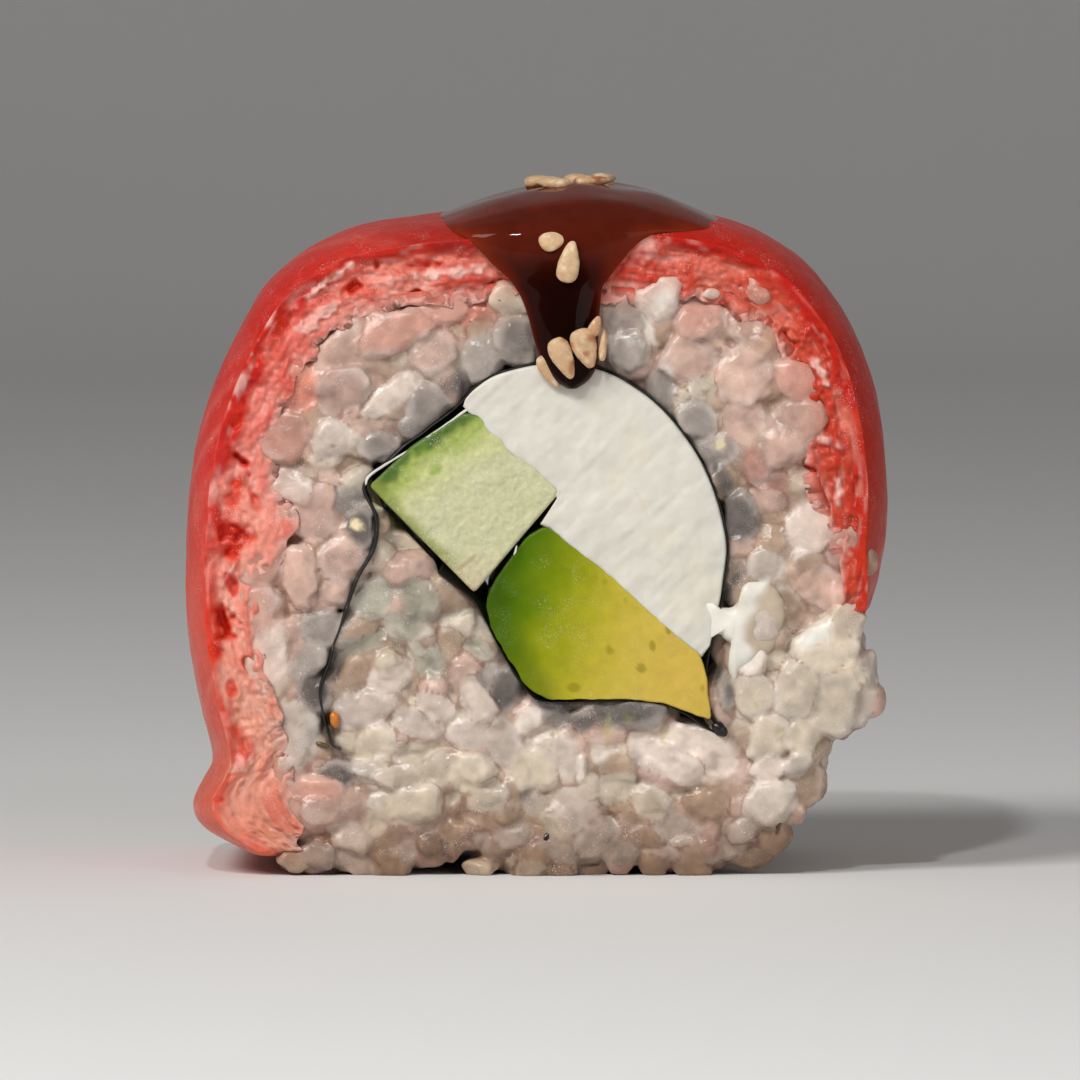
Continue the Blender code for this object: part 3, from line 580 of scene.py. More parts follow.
def build_cheese():
    """A band from the nori to the line of the vegetables: share w across it, share s along it.

    The face lies at y = -14 + edge + relief, where edge turns the rim back along a quarter circle of 0.25 mm.
    """
    start, end = nearest(nori_path, (-5.7, 35.0)), nearest(nori_path, (12.6, 16.9))
    stations = 230
    outer = resample((nori_path - left_normals(nori_path) * 0.1)[start : end + 1], stations)
    inner = resample(CHEESE_INNER, stations)
    rims = np.linspace(0, 0.08, 9)[:-1], np.linspace(0.92, 1, 9)[1:]
    share = np.concatenate([rims[0], np.linspace(0.08, 0.92, 60), rims[1]])
    flat = outer[:, None] * (1 - share)[None, :, None] + inner[:, None] * share[None, :, None]
    width = np.linalg.norm(outer - inner, axis=1)
    from_ends = np.minimum(np.linspace(0, 60, stations), np.linspace(60, 0, stations))
    rim = np.minimum(np.minimum(share, 1 - share)[None] * width[:, None], from_ends[:, None])
    edge = 0.25 * (1 - np.sqrt(1 - (1 - np.clip(rim / 0.25, 0, 1)) ** 2))
    at = lifted(flat, 0.0)
    x, z = flat[..., 0], flat[..., 1]
    drag = noise(np.stack([(x + z) / 3.2, (x - z) / 0.55, 0 * rim], axis=-1), 1.0)
    relief = 0.16 * noise(at, 2.6) + 0.09 * noise(at, 1.1) + 0.03 * noise(at, 0.45) + 0.03 * drag
    torn = spots(at, placed([
        (640, 500, 2, 22, 25, 0.5), (655, 560, 18, 1.5, -30, 0.5), (600, 470, 12, 1.5, 35, 0.3),
        (700, 545, 1.5, 16, 10, 0.4), (618, 522, 1.5, 1.5, 0, 1.0),
    ]), 0.6, cell=0.4)
    front = lifted(flat, -HALF + 0.06 + edge + relief + 0.05 * torn)
    back = lifted(flat, HALF - 0.06 - edge + relief)[:, ::-1]
    rings = capped(np.concatenate([front, back], axis=1))
    warm = ease(noise(rings, 1.9), 0.25, 0.9)
    tint = blend(screen(218, 214, 203) + 0 * rings, screen(224, 212, 188), warm * 0.4)
    tint[1:-1, : len(share)] = blend(tint[1:-1, : len(share)], screen(214, 196, 160), torn * 0.45)
    skin = food("cream_cheese", (0.35, 0.55), 0.03, 0.5, mottle=0.03, mottle_cell=1.2, under=0.4,
                deep=(1.2, 1.0, 0.7))
    made = piece("cheese_fill", rings, ring_faces(rings), skin, "cream_cheese", tint)
    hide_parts("cream_cheese")
    return made


build_cheese()


# %% A cut block
def block(outline, middle, edge, relief, rows=34):
    """Rings of a block: over the front face from the middle out, back along Y, and in again.

    On a face, ring t has the points middle + t (outline - middle), and stands back by the edge's quarter
    circle plus relief(points). Returns an array of rings with points in the drawing.
    """
    t = np.sin(np.linspace(0.15, 1, 8) * math.pi / 2)
    t = np.concatenate([np.linspace(0, 0.9, rows), 1 - 0.1 * (1 - t)])
    flat = middle + t[:, None, None] * (outline - middle)[None]
    radius = np.linalg.norm(outline - middle, axis=1)
    rim = np.clip((1 - t)[:, None] * radius[None] / edge, 0, 1)
    turned = edge * (1 - np.sqrt(1 - (1 - rim) ** 2))
    place = lifted(flat, 0.0)
    front = lifted(flat, -HALF + turned + relief(place))
    back = lifted(flat, HALF - turned - relief(place + 40))
    side_y = np.linspace(-HALF + edge + 0.4, HALF - edge - 0.4, 12)
    side = np.stack([lifted(outline, y) for y in side_y])
    return np.concatenate([front, side, back[::-1]])


def rounded(corners, radius, steps=6):
    """A polygon whose corners are cut to arcs of about that radius."""
    corners = np.asarray(corners, float)
    made = []
    for before, corner, after in zip(np.roll(corners, 1, axis=0), corners, np.roll(corners, -1, axis=0)):
        start = corner + (before - corner) / np.linalg.norm(before - corner) * radius
        end = corner + (after - corner) / np.linalg.norm(after - corner) * radius
        for t in np.linspace(0, 1, steps):
            made.append((1 - t) ** 2 * start + 2 * t * (1 - t) * corner + t**2 * end)
    return np.array(made)


def beyond(points, first, second):
    """Distance in mm of each point from the line first-second, positive to the right of the way it runs."""
    first, second = np.array(first, float), np.array(second, float)
    way = (second - first) / np.linalg.norm(second - first)
    return (points[..., 0] - first[0]) * way[1] - (points[..., 2] - first[1]) * way[0]


# %% Cucumber
CUCUMBER_CORNERS = [(-11.9, 28.35), (-8.95, 31.15), (-5.3, 33.55), (-4.2, 33.5), (1.75, 27.95), (-4.4, 20.7)]


def build_cucumber():
    """The baton, with colours by the distance from its skin side, its cut left side and its lower corner."""
    outline = resample(rounded(CUCUMBER_CORNERS, 0.35), 300, closed=True)
    middle = np.array([-4.8, 27.6])
    rings = block(outline, middle, 0.3, lambda p: 0.07 * noise(p, 0.9) + 0.05 * noise(p, 0.35), 44)
    from_low_skin = beyond(rings, (-11.7, 28.3), (-8.9, 31.0))
    from_skin = np.minimum(from_low_skin, beyond(rings, (-8.9, 31.0), (-5.0, 33.4)))
    from_left = beyond(rings, (-4.5, 20.9), (-11.7, 28.3))
    wobble = 0.35 * noise(rings, 1.3) + 0.2 * noise(rings, 0.4)
    colour = screen(200, 199, 160) + 0 * rings
    colour = blend(colour, screen(198, 204, 132), 0.75 * (1 - ease(from_skin + 1.2 * wobble, 1.2, 4.4)))
    colour = blend(colour, screen(150, 168, 72), 0.8 * (1 - ease(from_skin + wobble, 0.6, 2.8)))
    colour = blend(colour, screen(84, 110, 48), 1 - ease(from_skin + 0.9 * wobble, 0.15, 1.0))
    colour = blend(colour, screen(140, 150, 70), 0.8 * (1 - ease(from_left + 0.6 * wobble, 0.1, 1.1)))
    colour = blend(colour, screen(205, 192, 160), ease(24.6 - rings[..., 2] + wobble, 0.0, 3.5) * 0.8)
    green = spots(rings, placed([
        (434, 471, 12, 7, 30, 0.7), (420, 452, 14, 8, 35, 0.5), (505, 425, 6, 20, 50, 0.4),
    ]), 0.6, 1.0)
    colour = blend(colour, screen(118, 158, 30), green * 0.8)
    brown = spots(rings, placed([(452, 577, 12, 4, -50, 1.0), (470, 560, 14, 3, 40, 0.5)]), 0.5)
    colour = blend(colour, screen(150, 116, 66), brown * 0.8)
    skin = food("cut_cucumber", (0.2, 0.45), 0.06, 0.22, mottle=0.10, mottle_cell=0.35, under=0.25,
                deep=(0.8, 0.9, 0.4), specks_and_glints=(0.7, 0.10), IOR=1.3)
    made = piece("cucumber_baton", rings, ring_faces(rings), skin, "cucumber", colour)
    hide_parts("cucumber")
    return made


build_cucumber()

# %% Avocado
AVOCADO_KNOTS = [
    (0.7, 25.5), (4.6, 22.5), (8.1, 19.4), (11.7, 16.3), (12.2, 14.8), (12.25, 13.2), (12.6, 11.6),
    (11.2, 12.05), (9.3, 12.8), (7.0, 13.1), (3.6, 13.12), (0.8, 13.1), (-0.6, 13.9), (-2.0, 16.1),
    (-3.2, 18.1), (-3.6, 20.0), (-3.0, 21.5), (-1.9, 23.1), (-0.6, 24.8),
]


def build_avocado():
    """The wedge: deep green by the peel on its left, through yellow-green to butter yellow by the stone."""
    outline = resample(rounded(AVOCADO_KNOTS, 0.5), 300, closed=True)
    frayed = ease(outline[:, 0], 10.8, 12.2) * ease(14.5 - outline[:, 1], 0, 1)
    outline = outline + (0.04 * noise(np.column_stack([outline, 0 * frayed]), 0.5) * (1 + frayed))[:, None]
    middle = np.array([9.5, 15.0])
    rings = block(outline, middle, 0.18, lambda p: 0.06 * noise(p, 1.6) + 0.02 * noise(p, 0.4), 44)
    from_peel = rings[..., 0] * 0.93 - (rings[..., 2] - 18) * 0.36 + 3.6
    wobble = 0.7 * noise(rings, 2.2) + 0.25 * noise(rings, 0.7)
    reach = np.clip((from_peel + wobble) / 14.5, 0, 1)
    colour = along_colours(reach, [
        (0.0, 54, 82, 2), (0.08, 76, 108, 2), (0.2, 108, 130, 4), (0.33, 146, 152, 18),
        (0.5, 182, 170, 48), (0.72, 200, 178, 74), (1.0, 205, 176, 80),
    ])
    low_left = 1 - ease(np.minimum(beyond(rings, (-3.2, 20.2), (0.3, 13.6)) * -1, 9), 0.1, 1.6)
    colour = blend(colour, screen(70, 96, 6), np.clip(low_left, 0, 1) * 0.5 * (rings[..., 0] < 3))
    marks = spots(rings, placed([
        (668, 630, 3.5, 7, 10, 0.9), (652, 645, 4, 7, 0, 0.9), (641, 668, 5, 5, 0, 0.8),
        (610, 650, 5, 7, 0, 0.8), (604, 582, 4, 4, 0, 0.5), (574, 688, 7, 6, 0, 0.9),
        (702, 688, 4, 6, 0, 0.6), (625, 600, 3, 4, 0, 0.4),
    ]), 0.3)
    colour = blend(colour, screen(136, 124, 20), marks * 0.7)
    skin = food("ripe_avocado", (0.3, 0.5), 0.03, 0.3, mottle=0.07, mottle_cell=0.8, under=0.25,
                deep=(0.9, 0.8, 0.2), specks_and_glints=(0.3, 0.10), IOR=1.22)
    made = piece("avocado_wedge", rings, ring_faces(rings), skin, "avocado", colour)
    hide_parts("avocado")
    return made


build_avocado()

# %% [markdown]
# ## Rice
# Cooked rice sticks: its grains keep their shape but run into each other where they touch. Each grain is
# a plump pillow. Those of the cut face lie where they lie on the real piece, and the others are thrown
# with a fixed seed behind them, over the back face and over the bare side. A voxel remesh then melts the
# grains and a plain core into one skin, once for the front and once for what lies behind. A smoothing
# rounds the seams, and each point takes the colour of the grain that it lies in.

# %% The grains of the cut face
TONES = {
    "salmon": (218, 142, 122), "pink": (214, 168, 154), "blush": (217, 187, 174), "pale": (222, 210, 200),
    "white": (238, 230, 220), "grey": (172, 164, 158), "dark": (118, 111, 107), "smoke": (92, 88, 86),
    "green": (178, 176, 161), "cream": (222, 212, 194), "beige": (192, 168, 146),
}
# Tones of the thrown grains, between those of the cut face and on the other sides
SHADED = ["beige", "beige", "cream", "blush"]
OPEN = ["cream", "pale", "blush", "grey", "pale"]
# px, py, half length and half width in px, turn in degrees, how far it lies back in mm, tone
FACE_GRAINS = [
    (286, 441, 28, 24, 10, 0.0, "pink"), (331, 441, 20, 20, 80, 0.0, "pale"),
    (360, 438, 18, 16, 0, 0.7, "blush"), (377, 447, 20, 15, 10, 0.2, "grey"),
    (391, 396, 36, 12, 36, 0.0, "pale"), (426, 406, 26, 20, 60, 0.1, "grey"),
    (374, 418, 28, 15, -10, 1.2, "pink"), (296, 490, 27, 17, -25, 0.0, "pale"),
    (317, 512, 29, 24, 80, 0.0, "blush"), (349, 503, 20, 15, 10, 0.1, "grey"),
    (362, 530, 22, 15, 100, 0.2, "dark"), (342, 485, 22, 10, 0, 1.6, "pink"),
    (340, 557, 27, 22, 20, 0.0, "blush"), (263, 566, 27, 23, 70, 0.0, "blush"),
    (303, 577, 32, 18, 95, 0.0, "blush"), (262, 612, 30, 22, 90, 0.0, "blush"),
    (320, 627, 23, 18, 20, 0.1, "grey"), (334, 592, 18, 16, 0, 0.3, "blush"),
    (268, 652, 38, 24, 80, 0.0, "pale"), (296, 640, 26, 13, 95, 0.4, "blush"),
    (310, 660, 22, 17, 70, 0.2, "grey"), (311, 697, 22, 17, 110, 0.5, "dark"),
    (300, 735, 33, 23, 85, 0.0, "white"), (263, 720, 20, 14, 100, 0.5, "salmon"),
    (272, 762, 25, 11, 110, 0.9, "salmon"), (275, 799, 20, 13, 115, 0.1, "pale"),
    (318, 788, 30, 15, -8, 0.2, "pink"), (340, 768, 18, 12, -15, 0.3, "dark"),
    (362, 771, 14, 10, -20, 0.1, "white"), (341, 811, 38, 18, 8, 0.1, "blush"),
    (372, 799, 9, 9, 0, 0.0, "white"), (349, 842, 19, 14, -20, 0.3, "pale"),
    (318, 857, 21, 13, -20, 0.4, "pale"), (354, 862, 26, 12, -22, 0.2, "pale"),
    (291, 864, 15, 9, -15, 0.2, "cream"), (334, 687, 17, 14, 100, 0.6, "smoke"),
    (366, 708, 28, 19, 15, 0.1, "pale"), (378, 742, 24, 20, 60, 0.1, "cream"),
    (347, 740, 13, 12, 0, 0.5, "cream"), (372, 647, 34, 16, 8, 0.1, "green"),
    (390, 680, 22, 16, 30, 0.0, "pale"), (411, 753, 23, 14, 12, 0.0, "cream"),
    (407, 806, 34, 19, 4, 0.0, "cream"), (404, 850, 18, 17, 100, 0.3, "pale"),
    (390, 548, 38, 15, 100, 1.7, "green"), (375, 600, 24, 20, 30, 0.3, "green"),
    (416, 602, 26, 24, -40, 0.2, "green"), (429, 573, 14, 18, 10, 1.1, "green"),
    (352, 632, 14, 17, 0, 0.8, "dark"), (437, 665, 20, 18, 60, 0.1, "green"),
    (435, 701, 18, 14, -20, 0.0, "pale"), (411, 700, 14, 12, 0, 1.2, "beige"),
    (479, 702, 23, 15, 120, 0.1, "pale"), (510, 688, 24, 15, 75, 0.3, "dark"),
    (417, 730, 26, 15, -12, 0.0, "pale"), (470, 732, 24, 15, 0, 0.0, "pale"),
    (440, 768, 18, 15, 60, 0.1, "cream"), (471, 767, 22, 18, 0, 0.0, "cream"),
    (405, 776, 34, 12, 0, 0.5, "cream"), (487, 797, 28, 18, 0, 0.0, "cream"),
    (507, 743, 26, 16, 110, 0.0, "pale"), (533, 769, 26, 22, -20, 0.0, "cream"),
    (527, 719, 20, 10, 40, 0.0, "white"), (540, 736, 15, 13, 50, 0.2, "pale"),
    (553, 716, 24, 16, 0, 0.2, "grey"), (569, 757, 23, 14, 100, 0.1, "pale"),
    (585, 768, 17, 6, 100, 0.0, "white"), (603, 746, 19, 17, 80, 0.0, "white"),
    (531, 800, 14, 14, 0, 0.0, "pale"), (576, 808, 25, 21, 60, 0.2, "pale"),
    (505, 823, 40, 14, -5, 0.8, "beige"), (480, 841, 26, 13, -24, 0.3, "pale"),
    (517, 840, 20, 14, 12, 0.2, "pale"), (598, 838, 25, 19, 30, 0.1, "pale"),
    (560, 850, 22, 17, -30, 0.1, "pale"), (536, 867, 14, 9, 10, 0.3, "cream"),
    (568, 866, 24, 9, 10, 0.3, "pale"), (430, 843, 14, 14, 0, 0.4, "beige"),
    (456, 834, 16, 12, 10, 0.5, "beige"), (620, 712, 44, 16, -4, 0.0, "dark"),
    (663, 758, 40, 18, -26, 0.0, "pale"), (700, 748, 40, 23, -26, 0.2, "pale"),
    (720, 688, 24, 13, 84, 0.0, "dark"), (721, 645, 10, 9, 0, 1.0, "dark"),
    (752, 697, 23, 20, 70, 0.1, "cream"), (752, 661, 20, 14, 100, 0.0, "white"),
    (799, 690, 32, 24, 80, 0.0, "cream"), (768, 738, 26, 20, 60, 0.0, "cream"),
    (803, 736, 20, 17, 60, 0.1, "cream"), (769, 768, 17, 15, 60, 0.0, "pale"),
    (796, 768, 14, 10, 30, 0.0, "white"), (771, 803, 27, 21, 30, 0.0, "white"),
    (746, 827, 21, 11, 22, 0.2, "pale"), (724, 853, 23, 12, 24, 0.3, "pale"),
    (677, 833, 28, 18, -30, 0.2, "pale"), (655, 856, 30, 11, -10, 0.3, "pale"),
    (653, 802, 22, 17, -40, 0.1, "cream"), (617, 790, 18, 17, 30, 0.2, "cream"),
    (632, 826, 17, 13, -20, 0.4, "beige"), (692, 794, 18, 11, -25, 1.4, "beige"),
    (737, 794, 13, 11, 0, 1.3, "beige"), (708, 850, 16, 8, 5, 1.6, "beige"),
    (808, 786, 25, 13, 70, 1.0, "beige"), (735, 580, 22, 14, 70, 0.8, "smoke"),
    (763, 566, 18, 16, 0, 0.1, "pale"), (763, 622, 25, 18, 75, 0.0, "pale"),
    (789, 606, 24, 14, 115, 0.5, "beige"), (822, 588, 33, 20, -20, 0.1, "blush"),
    (847, 622, 22, 18, 70, 0.0, "cream"), (826, 648, 34, 27, 40, 0.0, "cream"),
    (863, 690, 38, 12, 80, 0.7, "pale"), (833, 703, 34, 27, 75, 0.1, "cream"),
    (625, 322, 23, 20, 30, 0.2, "grey"), (662, 300, 24, 20, 40, 0.0, "white"),
    (697, 325, 26, 19, 10, 0.1, "pink"), (742, 332, 21, 14, 110, 0.0, "blush"),
    (706, 297, 8, 7, 0, 0.0, "white"), (745, 288, 34, 15, -30, 0.5, "salmon"),
    (745, 378, 31, 28, 60, 0.0, "blush"), (795, 378, 26, 20, -40, 0.2, "pink"),
    (797, 425, 36, 25, 20, 0.0, "blush"), (688, 358, 28, 22, -20, 0.1, "blush"),
    (630, 352, 22, 20, 0, 0.1, "grey"), (662, 392, 24, 14, 110, 0.3, "grey"),
    (700, 388, 14, 13, 0, 0.1, "cream"), (693, 422, 23, 19, -40, 0.2, "grey"),
    (719, 447, 24, 16, 20, 0.0, "grey"), (741, 424, 25, 22, 90, 0.0, "blush"),
    (782, 449, 25, 18, 30, 0.0, "blush"), (756, 466, 20, 14, 110, 0.1, "pink"),
    (775, 484, 22, 15, 20, 0.5, "pink"), (798, 489, 19, 15, 70, 1.1, "salmon"),
    (717, 478, 22, 9, 115, 0.4, "dark"), (743, 515, 27, 16, 95, 0.3, "dark"),
    (775, 518, 19, 14, 70, 1.3, "beige"), (810, 529, 28, 22, 60, 0.0, "pale"),
    (843, 546, 24, 16, 70, 0.2, "blush"), (444, 311, 28, 17, 5, 0.0, "pink"),
    (477, 311, 22, 20, 60, 0.6, "salmon"), (434, 356, 24, 20, 30, 0.0, "blush"),
    (395, 335, 44, 20, 22, 0.1, "pink"), (345, 352, 36, 26, 30, 0.0, "blush"),
    (345, 386, 28, 22, 10, 0.0, "blush"), (296, 386, 27, 24, 40, 0.1, "salmon"),
    (333, 409, 13, 10, 0, 0.1, "blush"), (452, 386, 22, 15, 20, 0.8, "dark"),
    (483, 364, 24, 22, 80, 0.1, "grey"), (514, 340, 26, 22, 30, 0.1, "grey"),
    (409, 427, 14, 12, 40, 0.3, "grey"), (530, 355, 14, 18, 0, 0.3, "grey"),
    (545, 705, 14, 8, 0, 0.6, "dark"), (585, 716, 18, 12, 0, 0.4, "dark"),
    (310, 440, 14, 12, 0, 0.9, "salmon"), (420, 650, 18, 16, 30, 0.3, "green"),
    (405, 628, 20, 14, -10, 0.3, "green"), (455, 640, 16, 18, 60, 0.5, "green"),
    (462, 618, 14, 18, 60, 0.8, "green"), (340, 662, 16, 14, 60, 0.9, "dark"),
    (680, 800, 20, 12, -20, 0.7, "cream"), (590, 790, 16, 12, 70, 0.5, "cream"),
    (450, 800, 20, 14, 10, 0.4, "cream"), (372, 826, 18, 12, 20, 0.5, "cream"),
    (620, 855, 18, 12, 10, 0.3, "pale"), (480, 868, 16, 9, 0, 0.5, "cream"),
    (478, 652, 18, 18, 0, 0.3, "green"), (488, 672, 16, 16, 0, 0.4, "grey"),
]
print(len(FACE_GRAINS), "grains drawn on the cut face")

# %% Where rice may lie
RICE_KNOTS = [
    (23.2, 17.9), (23.9, 15.4), (23.4, 12.8), (21.8, 10.3), (20.6, 7.4), (18.6, 4.4), (15.6, 2.0),
    (12.4, 0.5), (9.6, 0.2), (6.0, 1.4), (3.0, 0.5), (0.0, 0.0), (-2.0, 0.4), (-4.2, 2.0), (-6.8, 2.2),
    (-9.6, 0.6), (-12.6, 0.0), (-15.6, 0.5), (-17.4, 1.6),
]
bare_line = resample(through(RICE_KNOTS, 16), 160)


def filling_hole():
    """Outline of what the rice closes round: the nori, and the cucumber where no nori covers it."""
    rice_side = nori_path + left_normals(nori_path) * 0.06
    flap = (nori_path - left_normals(nori_path) * 0.15)[: nearest(nori_path, (-11.4, 26.0)) + 1]
    return np.vstack([rice_side[::3], [(-7.2, 22.9), (-10.9, 26.7)], flap[::-3]])


def inside(points, polygon):
    """Which points (x, z) lie inside a closed polygon, by counting the edges to the right of each."""
    found = np.zeros(len(points), int)
    x, z = points[:, 0], points[:, 1]
    for (ax, az), (bx, bz) in zip(polygon, np.roll(polygon, -1, axis=0)):
        if az != bz:
            found += ((az > z) != (bz > z)) & (x < ax + (z - az) / (bz - az) * (bx - ax))
    return found % 2 == 1


def nearest_on(points, line):
    """For each point (x, z) the nearest point of a polyline, by way of each of its segments in turn."""
    best = np.full(len(points), 1e9)
    found = points.copy()
    for start, end in zip(line[:-1], line[1:]):
        way = end - start
        t = np.clip((points - start) @ way / (way @ way), 0, 1)
        spot = start + t[:, None] * way
        far = np.linalg.norm(points - spot, axis=1)
        nearer = far < best
        best[nearer], found[nearer] = far[nearer], spot[nearer]
    return found, best


hole = filling_hole()
hole_ring = np.vstack([hole, hole[:1]])
rice_ring = np.vstack([fish_inner[::7], bare_line])
print("the rice closes round an outline of", len(hole), "points")


# %% Grains behind, at the back and on the bare side
def thrown_grains(rng):
    """Grains on jittered grids: middle, long axis, the axis that looks out, and half sizes for each."""
    made = []

    def grid(step, jitter, from_hole, from_edge):
        x, z = np.meshgrid(np.arange(-21, 24, step), np.arange(1.5, 43, step))
        spot = np.column_stack([x.ravel(), z.ravel()]) + rng.uniform(-jitter, jitter, (x.size, 2))
        shut = nearest_on(spot, hole_ring)[1]
        edge = nearest_on(spot, np.vstack([rice_ring, rice_ring[:1]]))[1]
        return spot[inside(spot, rice_ring) & ~inside(spot, hole) & (shut > from_hole) & (edge > from_edge)]

    for sx, sz in grid(2.1, 0.7, 0.4, 1.0):
        turn = rng.uniform(0, math.pi)
        way = (math.cos(turn), rng.normal(0, 0.12), math.sin(turn))
        made.append(((sx, -12.1 + rng.uniform(-0.25, 0.3), sz), way, (0.0, -1.0, 0.0), (2.0, 1.35)))
    for y, step, sizes in ((-11.6, 2.9, (3.3, 1.4)), (12.45, 2.3, (2.1, 1.5)), (9.8, 3.2, (3.2, 1.4))):
        for sx, sz in grid(step, 0.45 * step, 1.0, 0.9):
            turn, tilt = rng.uniform(0, math.pi), rng.normal(0, 0.1 if y > 12 else 0.22)
            way = (math.cos(turn) * math.cos(tilt), math.sin(tilt), math.sin(turn) * math.cos(tilt))
            middle = (sx, y + rng.uniform(-0.35, 0.35), sz)
            made.append((middle, way, (0.0, math.copysign(1, y), 0.0), sizes))
    out = left_normals(bare_line)
    for s in np.linspace(2, len(bare_line) - 3, 27):
        for y in np.linspace(-11.4, 11.4, 8):
            k = int(np.clip(s + rng.uniform(-2.2, 2.2), 0, len(bare_line) - 1))
            turn = rng.uniform(0, math.pi)
            way = (math.cos(turn) * out[k][1], math.sin(turn), -math.cos(turn) * out[k][0])
            spot = bare_line[k] - out[k] * (1.45 + 0.6 * float(ease(k, 10, 2)) + rng.uniform(-0.15, 0.35))
            room = HALF - 0.6 - 3.3 * abs(math.sin(turn)) - 1.4 * abs(math.cos(turn))
            deep = float(np.clip(y + rng.uniform(-1.5, 1.5), -room, room))
            ends = spot + np.array([[way[0], way[2]], [-way[0], -way[2]]]) * 3.0
            if nearest_on(ends, fish_outer)[1].min() > 1.7:
                made.append(((spot[0], deep, spot[1]), way, (out[k][0], 0.0, out[k][1]), (3.3, 1.4)))
    return made


def torn_apart(x, z):
    """Whether a grain lies in the lower middle, where the cut face is rough and its grains stand apart."""
    return (z < 19.5) & (x < 14) & (x > -15)


def upright(way, out):
    """Three unit axes: along way, beside it, and the part of out that is square to it."""
    way = way / np.linalg.norm(way)
    out = out - way * (out @ way)
    out = out / np.linalg.norm(out)
    return [way, np.cross(out, way), out]


def all_grains():
    """Every grain as arrays: middle, axes, half sizes and tone, and whether the knife cut it flat."""
    rng = np.random.default_rng(11)
    middles, axes, sizes, tones = [], [], [], []
    for px, py, length, width, turn, back, tone in FACE_GRAINS:
        x, z = drawn(px, py)
        deep = 1.1 + 0.3 * min(length, width) / PX
        c, s = math.cos(math.radians(turn)), math.sin(math.radians(turn))
        smooth_side = 1.8 if torn_apart(x, z) else 0.4 if px > 735 and py > 590 else 1.0
        lean, pitch = rng.normal(0, 0.17, 2) * smooth_side
        way, out = np.array([c, lean, s]), np.array([0, -1.0, 0]) + pitch * np.array([-s, 0, c])
        middles.append((x, -HALF + back + deep + 0.03 + 0.55 * smooth_side * rng.random(), z))
        axes.append(upright(way, out))
        stretch = 1.15 if torn_apart(x, z) else 1.03
        sizes.append((length / PX * stretch, width / PX * 1.02, deep))
        tones.append(screen(*TONES[tone]) * (1 + 0.15 * rng.normal()))
    for middle, way, out, (length, width) in thrown_grains(rng):
        grow = rng.uniform(0.88, 1.08)
        middles.append(middle)
        axes.append(upright(np.array(way), np.array(out)))
        sizes.append((length * grow, width * grow, width * grow * 0.95))
        tones.append(screen(*TONES[rng.choice(SHADED if middle[1] < -8 else OPEN)]))
    middles = np.array(middles)
    axes = np.array(axes)
    cut = (np.arange(len(middles)) < len(FACE_GRAINS)) | (middles[:, 1] > 11.8) & (axes[:, 2, 1] > 0.9)
    return middles, axes, np.array(sizes), np.array(tones), cut


# %% Grains and core melted into one skin
def pillow_shells(middles, axes, sizes, cut, rows=14, columns=22):
    """A closed pillow for each grain, flat-faced where the knife went through it.

    Its points are (sin(t)^p cos(s)^q, sin(t)^p sin(s)^q, cos(t)^p) times the half sizes, with p = 0.38 for a
    cut grain, 0.50 where the knife tore the grains apart or for the back, 0.75 for a whole one, and q drawn
    for each grain. Then one end is made wider than the other and noise bends the outline.
    """
    t = np.linspace(0, math.pi, rows)[None, :, None]
    s = np.linspace(0, 2 * math.pi, columns + 1)[None, None, :-1]
    rough_cut = torn_apart(middles[:, 0], middles[:, 2]) | (middles[:, 1] > 0)
    power = np.where(cut, np.where(rough_cut, 0.50, 0.38), 0.75)[:, None, None]

    def full(value, exponent):
        return np.sign(value) * np.abs(value) ** exponent

    shapes = np.random.default_rng(5)
    corner = shapes.uniform(np.where(middles[:, 1] > 0, 0.8, 0.6), 1.0)[:, None, None]
    unit = np.stack([
        full(np.sin(t), power) * full(np.cos(s), corner),
        full(np.sin(t), power) * full(np.sin(s), corner),
        full(np.cos(t), power) + 0 * s,
    ], axis=-1).reshape(len(middles), -1, 3)
    taper = shapes.uniform(-0.3, 0.3, (len(middles), 1))
    unit[..., 1] *= 1 + taper * unit[..., 0]
    points = middles[:, None] + np.einsum("gnk,gk,gkj->gnj", unit, sizes, axes)
    own = np.arange(len(middles))[:, None, None] * 3.7
    for cell, most in ((1.2, 0.26), (0.5, 0.13)):
        bend = np.stack([noise(points + own + k * 31, cell) for k in range(3)], axis=-1)
        points = points + most * bend * np.where(cut[:, None, None], (1.3, 0.35, 1.3), 0.8)
    return points.reshape(-1, 3), many_faces(len(middles), rows, columns)


def rice_core(near, far):
    """A block under the grains from y = near to far: a tube from the hole's outline to the rice's own."""
    around = 400
    inner = resample(hole, around, closed=True)
    outer = resample(rice_ring, around, closed=True)
    centre = np.array([0.5, 24.0])
    start = [int(np.argmin(np.abs(np.arctan2(*(line - centre).T[::-1])))) for line in (inner, outer)]
    inner, outer = np.roll(inner, -start[0], axis=0), np.roll(outer, -start[1], axis=0)
    for line in (inner, outer):
        turn = np.sum(line[:, 0] * np.roll(line[:, 1], -1) - line[:, 1] * np.roll(line[:, 0], -1))
        if turn < 0:
            line[1:] = line[1:][::-1].copy()
    bare = ease(nearest_on(outer, bare_line)[1], 2.0, 0.2)
    inward = (inner - outer) / np.linalg.norm(inner - outer, axis=1)[:, None]
    drawn_in = outer + inward * (0.3 + 1.1 * bare)[:, None]
    corners = ((near, inner), (near, drawn_in), (far, drawn_in), (far, inner))
    rings = np.stack([lifted(line, y) for y, line in corners], axis=1)
    rings = np.concatenate([rings, rings[:1]])
    return rings.reshape(-1, 3), ring_faces(rings)


